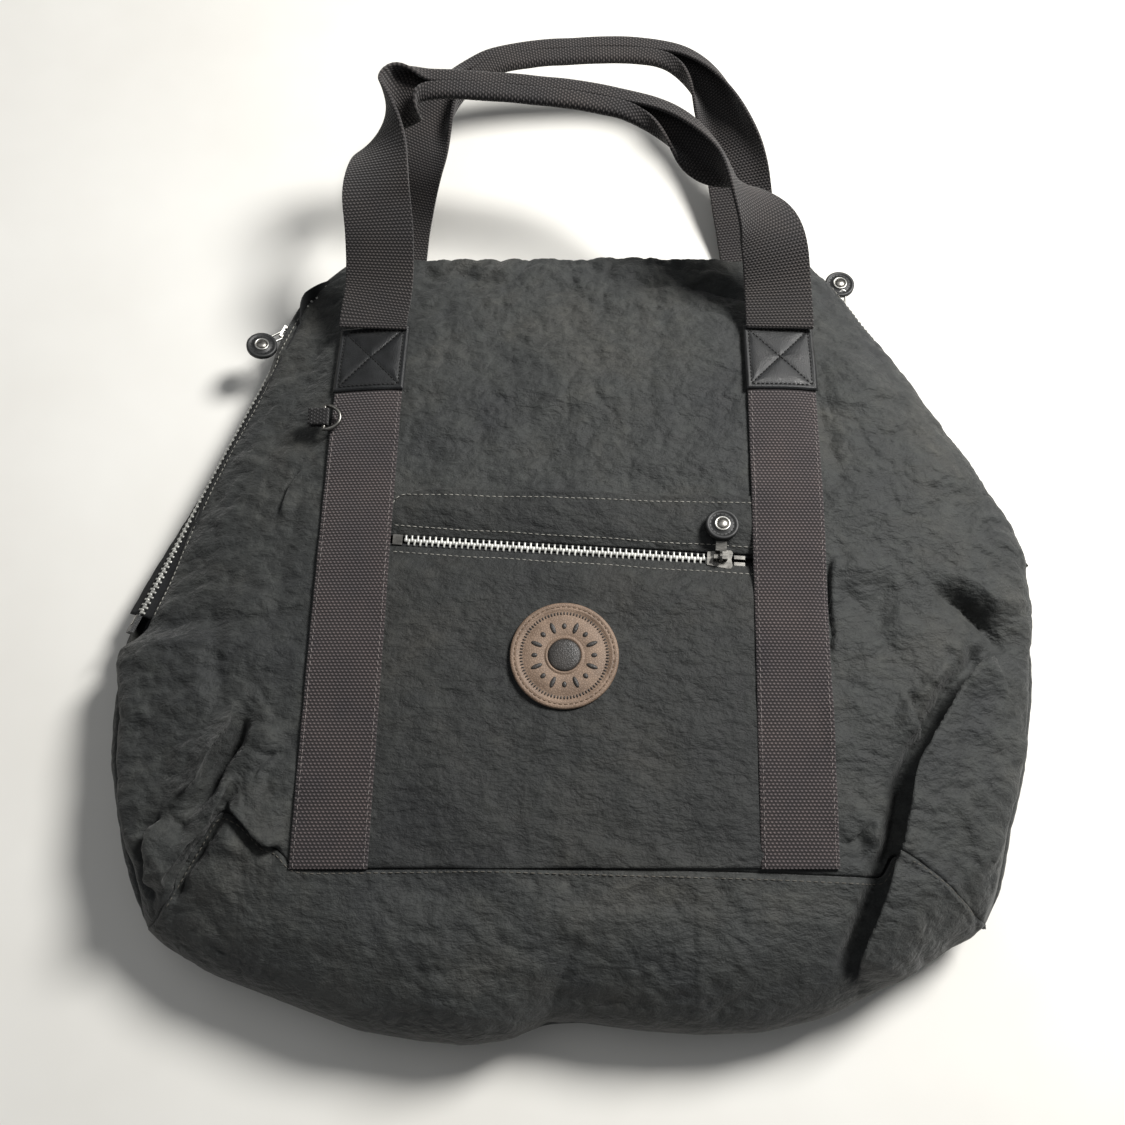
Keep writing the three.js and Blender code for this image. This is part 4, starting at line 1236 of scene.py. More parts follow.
def make_pocket_zip(tape_material, teeth_material):
    """The closed zip across the pocket."""
    start, travel, across = pocket_zip_frame()
    for name, side, phase in (("upper", 1, 0.0), ("lower", -1, 0.5)):
        centre = start + travel * np.arange(-3.0, 204.0, 2.0)[:, None]
        b, n = (np.broadcast_to(way, centre.shape) for way in (across * side, UP))
        parts = [tape_parts(centre, b, n, 2.2, 12.0)]
        tape = joined_mesh("zip_tape_" + name, parts, tape_material, with_uvs=True)
        thicken(tape, 0.7, offset=0)
        finish_piece(tape, "bag", "zip_tape", "pocket_tape_" + name)
        centre = start + travel * np.arange(9.2 + phase * TOOTH_PITCH, 176.0, TOOTH_PITCH)[:, None]
        parts = [teeth_parts(centre, travel, across * side, UP)]
        teeth = joined_mesh("zip_teeth_" + name, parts, teeth_material)
        finish_piece(teeth, "bag", "zip_teeth", "pocket_teeth_" + name)


# ---- leather, badge and ring ----------------------------------------------------------------------


def segment_distance(x, y, a, b):
    (ax, ay), (bx, by) = a, b
    length = math.hypot(bx - ax, by - ay)
    dx, dy = (bx - ax) / length, (by - ay) / length
    s = np.clip((x - ax) * dx + (y - ay) * dy, 0, length)
    return np.hypot(x - ax - s * dx, y - ay - s * dy)


def patch_sides(half_w, half_h, inset):
    w, h = half_w - inset, half_h - inset
    corners = [(-w, -h), (w, -h), (w, h), (-w, h)]
    return [(corners[i], corners[(i + 1) % 4]) for i in range(4)], corners


def make_patch(side, front, leather_material, thread_material):
    """A square of leather, sewn round its edge and across both diagonals, puffed between the seams."""
    half_w, half_h = PATCH["half"] + 0.6, (PATCH["high"] - PATCH["low"]) / 2 + 0.4
    middle_y = (PATCH["high"] + PATCH["low"]) / 2
    w, h = np.meshgrid(np.linspace(-half_w, half_w, 86), np.linspace(-half_h, half_h, 92))
    edges, corners = patch_sides(half_w, half_h, 3.2)
    seams = edges + [(corners[0], corners[2]), (corners[1], corners[3])]
    to_seam = np.min([segment_distance(w, h, a, b) for a, b in seams], axis=0)
    inside = np.maximum(np.abs(w) - half_w, np.abs(h) - half_h)
    puff = 0.95 * (1 - np.exp(-to_seam / 2.0)) * np.where(inside < -3.2, 1, 0.75)
    round_off = smoothstep(0, 1.4, -inside)
    thickness = (0.4 + 0.9 * round_off) + puff * round_off
    y = middle_y + h
    x = strap_x(side, y) + w
    name = ("patch_front_" if front else "patch_back_") + side_name(side)
    if front:
        ground = smoothed(smoothed(base_surface(x, y), 8, 0), 8, 1) + 3.0
        z, facing = ground + thickness, UP
    else:
        z, facing = np.maximum(3.0 - thickness, 0.1), -UP
    points = np.stack([x, y, z], -1)
    piece = make_sheet(name + "_leather", points, leather_material)
    thicken(piece, 1.0, offset=-1 if front else 1)
    finish_piece(piece, "bag", "faux_leather", name)
    if not front:
        return
    paths = []
    for a, b in seams:
        t = np.linspace(0.0, 1.0, 40)[:, None]
        line = np.array(a) + (np.array(b) - np.array(a)) * t
        line_x = strap_x(side, middle_y + line[:, 1]) + line[:, 0]
        col = np.interp(line[:, 0], np.linspace(-half_w, half_w, 86), np.arange(86)).round().astype(int)
        row = np.interp(line[:, 1], np.linspace(-half_h, half_h, 92), np.arange(92)).round().astype(int)
        paths.append((np.stack([line_x, middle_y + line[:, 1], z[row, col]], -1), facing))
    make_stitches(
        name + "_stitches", paths, thread_material, "bag", "faux_leather", pitch=2.6, length=1.9, radius=0.42
    )


def lathe(profile, segments, centre, matrix):
    """A closed turned body: profile is (radius, height) pairs from the axis round to the axis."""
    angles = np.linspace(0, 2 * math.pi, segments, endpoint=False)
    rings = []
    for radius, height in profile:
        local = np.stack([radius * np.cos(angles), radius * np.sin(angles), np.full(segments, height)], -1)
        rings.append(local @ matrix.T + centre)
    points = np.concatenate(rings)
    return points, grid_faces(len(profile), segments, loop=True)


def bead_parts(centres, size, count=8):
    """Small oval domes at local centres (x, y, z); size is (half length, half width, height, turn)."""
    parts = []
    for (x, y, z), (half_l, half_w, height, turn) in zip(centres, size):
        angles = np.linspace(0, 2 * math.pi, count, endpoint=False)
        cos_t, sin_t = math.cos(turn), math.sin(turn)
        rings = []
        for share, rise in ((1.0, -0.3), (0.95, 0.35), (0.7, 0.8), (0.3, 1.0), (0.02, 1.03)):
            u, v = half_l * share * np.cos(angles), half_w * share * np.sin(angles)
            turned_x, turned_y = x + u * cos_t - v * sin_t, y + u * sin_t + v * cos_t
            rings.append(np.stack([turned_x, turned_y, np.full(count, z + rise * height)], -1))
        parts.append((np.concatenate(rings), grid_faces(5, count, loop=True)))
    return parts


BEADS = 84
BARS = 16
BAR_R = 15.9


def turns(count):
    """Angles that divide a full turn evenly."""
    return np.arange(count) * 2 * math.pi / count


def make_badge(leather_material, dark_material, thread_material):
    """A round leather badge: a sewn rim, a ring of beads, a band of plain bars and a smooth dome."""
    x, y, r = BADGE
    z = height_at(front_height, x, y) + 1.8
    rise = height_at(front_height, x, y + 15) - height_at(front_height, x, y - 15)
    slope = math.atan(rise / 30)
    cos_s, sin_s = math.cos(slope), math.sin(slope)
    matrix = np.array([[1, 0, 0], [0, cos_s, -sin_s], [0, sin_s, cos_s]])
    centre = np.array([x, y, z])
    profile = [
        (0.01, -0.6), (r - 0.3, -0.6), (r, 0.2), (r, 1.3), (r - 0.35, 1.9), (r - 1.0, 2.15), (r - 1.9, 2.2),
        (r - 2.4, 1.85), (r - 2.9, 2.2), (r - 4.0, 2.1), (r - 4.6, 1.55), (r - 7.4, 1.55), (r - 7.8, 1.75),
        (11.4, 1.75), (11.0, 1.6), (10.4, 1.6), (10.0, 2.25), (9.2, 2.3), (8.9, 1.5), (0.01, 1.5),
    ]
    disc = joined_mesh("badge_disc", [lathe(profile, 128, centre, matrix)], leather_material)
    finish_piece(disc, "bag", "badge_leather", "badge")

    spots, sizes = [], []
    for a in turns(BEADS):
        spots.append(((r - 6) * math.cos(a), (r - 6) * math.sin(a), 1.55))
        sizes.append((0.95, 0.42, 0.55, a))
    for i, a in enumerate(turns(BARS)):
        spots.append((BAR_R * math.cos(a), BAR_R * math.sin(a), 1.7))
        sizes.append((3.4 if i % 2 else 1.7, 1.3, 0.75, a))
    relief = [(points @ matrix.T + centre, faces) for points, faces in bead_parts(spots, sizes, 12)]
    raised = joined_mesh("badge_relief", relief, dark_material)
    finish_piece(raised, "bag", "badge_leather")
    dome = [(8.9, 1.2), (8.8, 1.9), (7.6, 2.35), (5.4, 2.7), (2.8, 2.9), (0.01, 2.95)]
    boss = joined_mesh("badge_boss", [lathe(dome, 64, centre, matrix)], dark_material)
    finish_piece(boss, "bag", "badge_leather")
    angles = np.linspace(0, 2 * math.pi, 181)
    ring = np.stack([(r - 2.4) * np.cos(angles), (r - 2.4) * np.sin(angles), np.full(181, 1.95)], -1)
    paths = [(ring @ matrix.T + centre, matrix @ UP)]
    make_stitches(
        "badge_stitches", paths, thread_material, "bag", "badge_leather", pitch=2.9, length=2.2, radius=0.3
    )


def closed_tube(path, radius, sides=14):
    """Round wire bent into a closed loop."""
    path = np.asarray(path, float)
    tangent = unit(np.roll(path, -1, 0) - np.roll(path, 1, 0))
    side = unit(np.cross(tangent, UP))
    over = np.cross(side, tangent)
    angles = np.linspace(0, 2 * math.pi, sides, endpoint=False)
    rings = path[:, None] + radius * (
        side[:, None] * np.cos(angles)[None, :, None] + over[:, None] * np.sin(angles)[None, :, None]
    )
    rings = np.concatenate([rings, rings[:1]])
    return rings.reshape(-1, 3), grid_faces(len(rings), sides, loop=True)


def zip_x(zip_, y):
    """Where a side's straight run of zip is at y."""
    (x0, y0), (x1, y1) = zip_["start"], zip_["end"]
    return float(np.interp(y, [y0, y1], [x0, x1]))


RING = {"y": 78, "half_bar": 7.4, "depth": 9, "wire": 1.1}


def ring_centre():
    """The middle of the D-ring's straight bar, which its loop holds."""
    x = float(strap_x(-1, RING["y"])) - WEBBING_W / 2 - 3
    crown = float(np.interp(RING["y"], *np.array(CROWN, float).T))
    rim = float(np.interp(RING["y"], *np.array(RIM, float).T))
    left, right = (zip_x(zip_, RING["y"]) for zip_ in (LEFT_ZIP, RIGHT_ZIP))
    u = (2 * (x + 8) - left - right) / (right - left)
    return np.array([x, RING["y"], rim + (crown - rim) * float(fullness(np.array(u))) + 4.6])


def make_ring(metal_material, cloth_material):
    """The D-ring, and the loop of cloth that holds its straight bar."""
    x, y, z = ring_centre()
    half, depth = RING["half_bar"], RING["depth"]
    half_turn = np.linspace(-math.pi / 2, math.pi / 2, 33)
    bow = [(x + depth * math.cos(a), y + half * math.sin(a), z) for a in half_turn]
    bar = [(x, y + half * share, z) for share in np.linspace(0.9, -0.9, 13)]
    ring = joined_mesh("d_ring_wire", [closed_tube(bow + bar, RING["wire"])], metal_material)
    finish_piece(ring, "d_ring", "plated_wire", "d_ring")

    # The loop comes out from under the strap, passes round the bar and goes back under it.
    widths = edge_widths(10.0, 1.0)
    wrap = [(2 * math.cos(a), 2 * math.sin(a)) for a in np.linspace(math.pi / 2, 3 * math.pi / 2, 13)]
    upper = [(d, 2.0 - 0.06 * d) for d in (9, 6, 3, 1)]
    lower = [(d, -2.0 - 0.02 * d) for d in (1, 3, 6, 9)]
    line = np.array([(x - out, z + rise) for out, rise in upper + wrap + lower])
    line_x, line_y = np.meshgrid(line[:, 0], widths, indexing="ij")
    line_z = np.broadcast_to(line[:, 1:], line_x.shape)
    points = np.stack([line_x, y + line_y, line_z], -1)
    tab = make_sheet("d_ring_loop", points, cloth_material, band_uvs(run_along(line), widths))
    thicken(tab, 1.1, offset=0)
    finish_piece(tab, "bag", "faux_leather", "d_ring_tab")


def facing_up(normal, along):
    """A turning matrix whose Z is near normal and whose Y runs along."""
    y = unit(np.array(along, float))
    z = unit(np.array(normal, float) - y * float(np.dot(normal, y)))
    return np.stack([np.cross(y, z), y, z], 1)


NOTCHES = 18  # round each face of a pull's disc
DISC_R = 9.2
LOOP_R = 2.3  # half the width of the wire loop


def plan_box(node):
    """A CAD node's box, as low and high corners in plan mm."""
    return [np.array(corner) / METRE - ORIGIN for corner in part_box(node)]


def make_pull(name, body, nodes, shift, matrix, slider_end, rubber_material, silver_material, dark_material):
    """A zip pull: a notched rubber disc with a raised ring and a domed stud on both faces."""
    low, high = plan_box(nodes["disc"])
    centre = (low + high) / 2 + np.array(shift, float)
    r = DISC_R
    rim = [(r, 1.0), (r - 0.5, 1.6), (r - 1.8, 1.6), (r - 2.1, 1.15)]
    upper_face = rim + [(5.7, 1.15), (5.4, 1.5), (0.01, 1.5)]
    lower_face = [(radius, -height) for radius, height in upper_face[::-1]]
    disc = [lathe(lower_face + upper_face, 64, centre, matrix)]
    spots = [(6.4 * math.cos(a), 6.4 * math.sin(a), 1.15) for a in turns(NOTCHES)]
    sizes = [(0.5, 0.3, 0.35, a) for a in turns(NOTCHES)]
    ring_section = [(3.2, 1.2), (4.5, 1.2), (4.5, 2.0), (4.1, 2.4), (3.6, 2.4), (3.2, 2.0), (3.2, 1.2)]
    stud_section = [(3.3, 1.4), (3.2, 2.0), (2.4, 2.5), (1.2, 2.8), (0.01, 2.85)]
    ring, stud = [], []
    for face in (-1, 1):
        turned = matrix @ np.diag([face, 1, face])
        disc += [(points @ turned.T + centre, faces) for points, faces in bead_parts(spots, sizes)]
        ring.append(lathe(ring_section, 40, centre, turned))
        stud.append(lathe(stud_section, 32, centre, turned))
    made = joined_mesh(name + "_disc", disc, rubber_material)
    finish_piece(made, body, "disc_rubber", nodes["disc"])
    made = joined_mesh(name + "_ring", ring, silver_material)
    finish_piece(made, body, "gunmetal", nodes["rivet"])
    made = joined_mesh(name + "_stud", stud, dark_material)
    finish_piece(made, body, "gunmetal")
    if "link" not in nodes:
        return
    # A bent wire loop from the slider to the disc.
    end = centre - matrix[:, 1] * (r - 2.2)
    along, across = unit(end - slider_end) * LOOP_R, matrix[:, 0] * LOOP_R
    angles = np.linspace(math.pi / 2, 3 * math.pi / 2, 9)
    near = [slider_end + along * math.cos(a) + across * math.sin(a) for a in angles]
    far = [end - along * math.cos(a) - across * math.sin(a) for a in angles]
    loop = joined_mesh(name + "_loop", [closed_tube(near + far, 0.75, 12)], silver_material)
    finish_piece(loop, body, "gunmetal", nodes["link"])


def make_pulls(*materials):
    """The pocket's pull keeps its CAD link; the two main ones get a wire loop and lie face up."""
    nodes = {"disc": "pocket_pull_disc", "rivet": "pocket_pull_rivet"}
    matrix = facing_up((0, 0.139, 0.99), (-0.065, -0.988, 0.139))
    make_pull("pocket", "pocket_pull", nodes, (0, 0, 0), matrix, None, *materials)
    for side, along, shift in (
        ("left", (-0.675, -0.696, 0.244), (0, 0, 2)),
        ("right", (-0.163, 0.982, -0.091), (4, 3, 5)),
    ):
        nodes = {part: "main_" + side + "_pull_" + part for part in ("disc", "rivet", "link")}
        link_low, link_high = plan_box(nodes["link"])
        slider_end = (link_low + link_high) / 2 - unit(np.array(along)) * 5.5
        matrix = facing_up(UP, along)
        make_pull("main_" + side, "main_pull_" + side, nodes, shift, matrix, slider_end, *materials)


def make_right_end(tab_material, metal_material):
    """The right zip's end tab and stop, drawn a little further in, where the cloth hides them."""
    for name, node, material, slot in (
        ("right_end_tab", "main_end_tab_right", tab_material, "faux_leather"),
        ("right_end_stop", "main_stop_right", metal_material, "gunmetal"),
    ):
        low, high = plan_box(node)
        middle, half = (low + high) / 2 - np.array([11, 3, 3]), (high - low) * 0.36
        rings = []
        for height, share in ((-1, 0.85), (-0.8, 1), (0.8, 1), (1, 0.85)):
            corners = np.array([(1, 1), (-1, 1), (-1, -1), (1, -1)]) * half[:2] * share
            rings.append(np.column_stack([corners, np.full(4, height * half[2])]) + middle)
        faces = np.concatenate([grid_faces(4, 4, loop=True), [[3, 2, 1, 0], [12, 13, 14, 15]]])
        piece = make_mesh(name, np.concatenate(rings), faces, material)
        finish_piece(piece, "bag", slot, node)


# ---- inside ---------------------------------------------------------------------------------------


LINING_INSET = 7.0
LINING_BOTTOM = [(-240, -222, -202), (-110, -175, -205), (110, 170, 205)]  # y, left and right


def make_lining(material):
    """A loose inner bag that hangs from the zip tapes, and the pocket's bag behind its zip."""
    share = (np.sin(np.linspace(-1, 1, 120) * math.pi / 2) + 1) / 2
    sheets = []
    for over in (True, False):
        rows = []
        for y_row in np.linspace(-240, 172, 150):
            x0 = float(left_edge(y_row)) + LINING_INSET
            x1 = float(right_edge(y_row)) - LINING_INSET
            if y_row < LOWEST_ROW:
                x0 = max(x0, np.interp(y_row, LINING_BOTTOM[0], LINING_BOTTOM[1]))
                x1 = min(x1, np.interp(y_row, LINING_BOTTOM[0], LINING_BOTTOM[2]))
            x = x0 + (x1 - x0) * share
            y = np.full_like(x, y_row)
            full = fullness(2 * share - 1) * smoothstep(-243, -205, y) ** 0.5
            top, bottom = crown_at(y) - 9.5, floor_at(y) + 5.0
            rim = rim_at(y)
            z = rim + (top - rim) * full if over else rim - (rim - bottom) * full
            z = z + 1.2 * gradient_noise(x / 40, y / 40, 301 + over) * full
            if over:
                cloth = front_height(x, y) + np.minimum(fold_relief(x, y), 0)
                z = np.maximum(np.minimum(z, cloth - 9), rim - 6)
            rows.append(np.stack([x, y, z], -1))
        sheets.append(np.array(rows))
    parts = []
    for sheet, over in zip(sheets, (True, False)):
        faces = grid_faces(*sheet.shape[:2])
        parts.append((sheet.reshape(-1, 3), faces if over else faces[:, ::-1]))
    piece = joined_mesh("lining_bag", parts, material)
    finish_piece(piece, "bag", "lining_cloth", "lining")
    x, y = np.meshgrid(np.linspace(-95, 95, 60), np.linspace(-150, 25, 60))
    z = front_height(x, y) - 8.3 + 0.4 * gradient_noise(x / 25, y / 25, 305)
    inner = make_sheet("pocket_lining", np.stack([x, y, z], -1), material)
    thicken(inner, 0.5)
    finish_piece(inner, "bag", "lining_cloth", "pocket_bag")


# ---- carried-over hardware ------------------------------------------------------------------------


def dress_hardware(metal, rubber_disc, tab_leather):
    """The CAD's own metal and rubber parts keep their shape: a small bevel and a real finish."""
    for name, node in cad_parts.items():
        if node.hide_render:
            continue
        finish = metal
        if name.endswith("_disc"):
            finish = rubber_disc
        if "tab" in name:
            finish = tab_leather
        node.data.materials.clear()
        node.data.materials.append(finish)
        bevel = node.modifiers.new("worn_edges", "BEVEL")
        bevel.width = 0.22 * METRE
        bevel.segments = 2
        bevel.limit_method = "ANGLE"
        bevel.angle_limit = math.radians(35)


# ---- camera, light and floor ----------------------------------------------------------------------

LENS = 37.76
CAMERA_AT = (-0.0107, -0.2497, 0.67935)  # metres, in the part's frame
CAMERA_AIM = (-0.0107, -0.0474, 0.03)
FLOOR_HALF = 3000.0


def add_camera():
    """A camera above the bag's lower half, looking down at it from 17 degrees off the vertical."""
    camera_data = bpy.data.cameras.new("camera")
    camera_data.lens = LENS
    camera_data.sensor_width = 36
    camera = bpy.data.objects.new("camera", camera_data)
    bpy.context.scene.collection.objects.link(camera)
    camera.location = CAMERA_AT
    camera.rotation_euler = (Vector(CAMERA_AIM) - camera.location).to_track_quat("-Z", "Y").to_euler()
    bpy.context.scene.camera = camera


def add_light(name, at, aim, size, power, colour=(1, 1, 1)):
    data = bpy.data.lights.new(name, "AREA")
    data.shape = "DISK"
    data.size = size
    data.energy = power
    data.color = colour
    lamp = bpy.data.objects.new(name, data)
    bpy.context.scene.collection.objects.link(lamp)
    lamp.location = at
    lamp.rotation_euler = (Vector(aim) - Vector(at)).to_track_quat("-Z", "Y").to_euler()


def add_world():
    world = bpy.data.worlds.new("studio")
    bpy.context.scene.world = world
    world.use_nodes = True
    background = world.node_tree.nodes["Background"]
    background.inputs["Color"].default_value = (0.95, 0.97, 1.0, 1)
    background.inputs["Strength"].default_value = 0.17


# ---- materials ------------------------------------------------------------------------------------


def srgb(r, g, b):
    """8-bit screen colour as the linear colour that shaders use."""
    linear = [((c / 255 + 0.055) / 1.055) ** 2.4 if c > 10 else c / 255 / 12.92 for c in (r, g, b)]
    return (*linear, 1)


class Shader:
    """A material's node tree, built one node at a time."""

    def __init__(self, name):
        self.material = bpy.data.materials.new(name)
        self.material.use_nodes = True
        self.tree = self.material.node_tree
        self.surface = self.tree.nodes["Principled BSDF"]

    def node(self, kind, inputs=None, **settings):
        made = self.tree.nodes.new("ShaderNode" + kind)
        for key, value in settings.items():
            setattr(made, key, value)
        for key, value in (inputs or {}).items():
            self.put(made.inputs[key], value)
        return made

    def put(self, socket, value):
        if isinstance(value, bpy.types.NodeSocket):
            self.tree.links.new(value, socket)
        else:
            socket.default_value = value

    def set(self, **inputs):
        for key, value in inputs.items():
            self.put(self.surface.inputs[key.replace("_", " ")], value)

    def place(self, scale=(1, 1, 1), rotation=(0, 0, 0)):
        """Object position in mm, scaled."""
        coordinates = self.node("TexCoord").outputs["Object"]
        mapping = self.node("Mapping", {"Vector": coordinates, "Rotation": rotation})
        mapping.inputs["Scale"].default_value = tuple(1000 * s for s in scale)
        return mapping.outputs["Vector"]

    def cloth_uv(self):
        """Position across and along the band, in mm."""
        uv = self.node("UVMap", uv_map="cloth").outputs["UV"]
        mapping = self.node("Mapping", {"Vector": uv})
        mapping.inputs["Scale"].default_value = (100, 100, 100)
        return self.node("SeparateXYZ", {"Vector": mapping.outputs["Vector"]})

    def noise(self, vector, scale, detail=3.0, roughness=0.55, distortion=0.0):
        made = self.node("TexNoise", {"Vector": vector, "Scale": scale, "Detail": detail})
        made.inputs["Roughness"].default_value = roughness
        made.inputs["Distortion"].default_value = distortion
        return made.outputs["Fac"]

    def maths(self, operation, a, b=None, clamp=False):
        made = self.node("Math", operation=operation, use_clamp=clamp)
        self.put(made.inputs[0], a)
        if b is not None:
            self.put(made.inputs[1], b)
        return made.outputs[0]

    def ramp(self, value, stops):
        made = self.node("ValToRGB", {"Fac": value})
        elements = made.color_ramp.elements
        while len(elements) < len(stops):
            elements.new(0.5)
        for element, (position, colour) in zip(elements, stops):
            element.position = position
            element.color = colour if len(colour) == 4 else (*colour, 1)
        return made.outputs["Color"]

    def greys(self, value, *stops):
        """A ramp of plain greys, each stop a (position, tone) pair."""
        return self.ramp(value, [(position, (tone,) * 3) for position, tone in stops])

    def mix(self, fac, a, b, blend="MULTIPLY"):
        made = self.node("Mix", data_type="RGBA", blend_type=blend)
        self.put(made.inputs[0], fac)
        self.put(made.inputs[6], a)
        self.put(made.inputs[7], b)
        return made.outputs[2]

    def bump(self, height, strength, distance, normal=None):
        made = self.node("Bump", {"Height": height, "Strength": strength, "Distance": distance * METRE})
        if normal is not None:
            self.put(made.inputs["Normal"], normal)
        return made.outputs["Normal"]


def nylon(name, tint=1.0):
    """Washed nylon: dark grey with cooler and browner clouds, and a fine crushed crinkle, with painted shade
    along its crease lines and painted light on its raised crinkles.
    """
    s = Shader(name)
    place = s.place()
    clouds = s.noise(place, 0.016, 4, 0.62, 0.4)
    base = s.ramp(clouds, [
        (0.30, srgb(38 * tint, 40 * tint, 41 * tint)),
        (0.50, srgb(46 * tint, 48 * tint, 47 * tint)),
        (0.72, srgb(56 * tint, 56 * tint, 53 * tint)),
    ])
    blotches = s.noise(s.place((0.75, 1.1, 0.9), (0, 0, 0.1)), 0.15, 5, 0.62, 0.15)
    folded = s.noise(s.place((0.62, 1.25, 0.9), (0, 0, 0.15)), 0.075, 3, 0.5, 0.3)
    weave = s.noise(place, 1.1, 3, 0.6)
    creases = s.maths("ABSOLUTE", s.maths("SUBTRACT", folded, 0.5))
    # The cloth's random mottled tone, and painted light: the blotches that the bump raises are lighter and
    # its low places darker.
    mottle_and_painted_crinkle_light = s.ramp(blotches, [
        (0.34, (0.74, 0.74, 0.74)), (0.5, (0.96, 0.96, 0.96)), (0.66, (1.34, 1.33, 1.31)),
    ])
    # Painted shade: the colour darkens along the crease lines, where the bump sinks into valleys.
    painted_crease_shade = s.greys(creases, (0.0, 0.8), (0.02, 0.98), (0.2, 1.06))
    weave_tone = s.greys(weave, (0.3, 0.86), (0.7, 1.14))
    colour = s.mix(1.0, base, mottle_and_painted_crinkle_light)
    colour = s.mix(1.0, colour, painted_crease_shade)
    colour = s.mix(1.0, colour, weave_tone)
    s.set(Base_Color=colour, Roughness=s.greys(blotches, (0.3, 0.62), (0.7, 0.76)))
    s.set(Sheen_Weight=0.1, Sheen_Roughness=0.5, Specular_IOR_Level=0.35)
    valley = s.maths("MINIMUM", creases, 0.08)
    height = s.maths("ADD", s.maths("MULTIPLY", blotches, 1.25), s.maths("MULTIPLY", valley, 1.3))
    height = s.maths("ADD", height, s.maths("MULTIPLY", weave, 0.06))
    s.set(Normal=s.bump(height, 0.85, 2.4))
    return s.material


def webbing(name, colour):
    """Heavy cotton webbing: a basket weave of thick threads."""
    s = Shader(name)
    uv = s.cloth_uv()
    x, y = uv.outputs["X"], uv.outputs["Y"]
    pitch = 1.75
    ribs = s.maths("SINE", s.maths("MULTIPLY", y, 2 * math.pi / pitch))
    row = s.maths("FLOOR", s.maths("DIVIDE", y, pitch))
    shift = s.maths("MULTIPLY", s.maths("MODULO", row, 2.0), math.pi)
    columns = s.maths("SINE", s.maths("ADD", s.maths("MULTIPLY", x, 2 * math.pi / 2.1), shift))
    weave = s.maths("MULTIPLY", s.maths("ADD", ribs, 1.2), s.maths("ADD", columns, 1.3))
    weave = s.maths("MULTIPLY", weave, 0.2, clamp=True)
    place = s.place()
    wear = s.noise(place, 0.03, 4, 0.6)
    fuzz = s.noise(place, 1.3, 3, 0.7)
    r, g, b = colour
    base = s.ramp(wear, [
        (0.3, srgb(r * 0.9, g * 0.9, b * 0.92)),
        (0.7, srgb(r * 1.12, g * 1.08, b * 1.05)),
    ])
    # The woven pattern, with painted shade darkening the hollows between the threads and painted light
    # brightening their raised crowns, up to twice the base colour.
    tone = s.ramp(weave, [
        (0.0, (0.2, 0.2, 0.2)), (0.3, (0.6, 0.59, 0.6)), (0.62, (1.45, 1.42, 1.4)), (1.0, (2.0, 1.95, 1.9)),
    ])
    fuzz_tone = s.greys(fuzz, (0.25, 0.8), (0.75, 1.2))
    colour_out = s.mix(1.0, s.mix(1.0, base, tone), fuzz_tone)
    s.set(Base_Color=colour_out, Roughness=s.greys(fuzz, (0.2, 0.8), (0.8, 0.95)))
    s.set(Sheen_Weight=0.15, Sheen_Roughness=0.6, Specular_IOR_Level=0.2)
    s.set(Normal=s.bump(s.maths("ADD", weave, s.maths("MULTIPLY", fuzz, 0.25)), 0.9, 0.9))
    return s.material


def leather(name, dark, light, grain=0.9, roughness=0.42):
    """Leather with a pebbled grain that is worn smoother and lighter in places."""
    s = Shader(name)
    place = s.place()
    cells = s.node("TexVoronoi", {"Vector": place, "Scale": grain}, feature="DISTANCE_TO_EDGE")
    pebbles = s.greys(cells.outputs["Distance"], (0.0, 0), (0.25, 1))
    wear = s.noise(place, 0.09, 4, 0.6)
    base = s.ramp(wear, [(0.3, srgb(*dark)), (0.75, srgb(*light))])
    tone = s.greys(cells.outputs["Distance"], (0.0, 0.7), (0.2, 1))
    s.set(Base_Color=s.mix(1.0, base, tone))
    s.set(Roughness=s.greys(wear, (0.3, roughness - 0.06), (0.8, roughness + 0.14)))
    s.set(Specular_IOR_Level=0.5, Normal=s.bump(pebbles, 0.35, 0.25))
    return s.material


def tape_cloth(name):
    """Zip tape: a fine dark herringbone."""
    s = Shader(name)
    place = s.place((1, 1, 1), (0, 0, 0.78))
    ribs = s.node("TexWave", {"Vector": place, "Scale": 0.9, "Distortion": 0.6, "Detail": 1.0})
    fuzz = s.noise(place, 0.8, 3, 0.6)
    tone = s.mix(0.5, ribs.outputs["Color"], fuzz, "MIX")
    base = s.ramp(tone, [(0.2, srgb(22, 23, 24)), (0.8, srgb(48, 49, 50))])
    s.set(Base_Color=base, Roughness=s.greys(fuzz, (0.2, 0.8), (0.8, 0.92)))
    s.set(Specular_IOR_Level=0.25, Normal=s.bump(tone, 0.5, 0.3))
    return s.material


def plastic_teeth(name):
    """Moulded zip teeth: silvery off-white, dirtier in places."""
    s = Shader(name)
    place = s.place()
    grime = s.noise(place, 0.12, 4, 0.65)
    specks = s.noise(place, 1.6, 2, 0.6)
    base = s.ramp(grime, [(0.3, srgb(150, 150, 146)), (0.62, srgb(208, 208, 202))])
    tone = s.greys(specks, (0.3, 0.86), (0.6, 1))
    s.set(Base_Color=s.mix(1.0, base, tone), Metallic=0.25)
    s.set(Roughness=s.greys(specks, (0.2, 0.3), (0.8, 0.48)))
    s.set(Normal=s.bump(specks, 0.15, 0.2))
    return s.material


def worn_metal(name, dark, light, roughness):
    """Plated metal with small scratches and duller patches."""
    s = Shader(name)
    place = s.place()
    patches = s.noise(place, 0.15, 4, 0.6)
    scratches = s.noise(s.place((0.3, 2.2, 1.0), (0, 0, 0.6)), 0.9, 4, 0.7)
    base = s.ramp(patches, [(0.3, srgb(*dark)), (0.7, srgb(*light))])
    s.set(Base_Color=base, Metallic=1.0)
    s.set(Roughness=s.greys(scratches, (0.3, roughness), (0.75, roughness + 0.22)))
    s.set(Normal=s.bump(scratches, 0.12, 0.15))
    return s.material


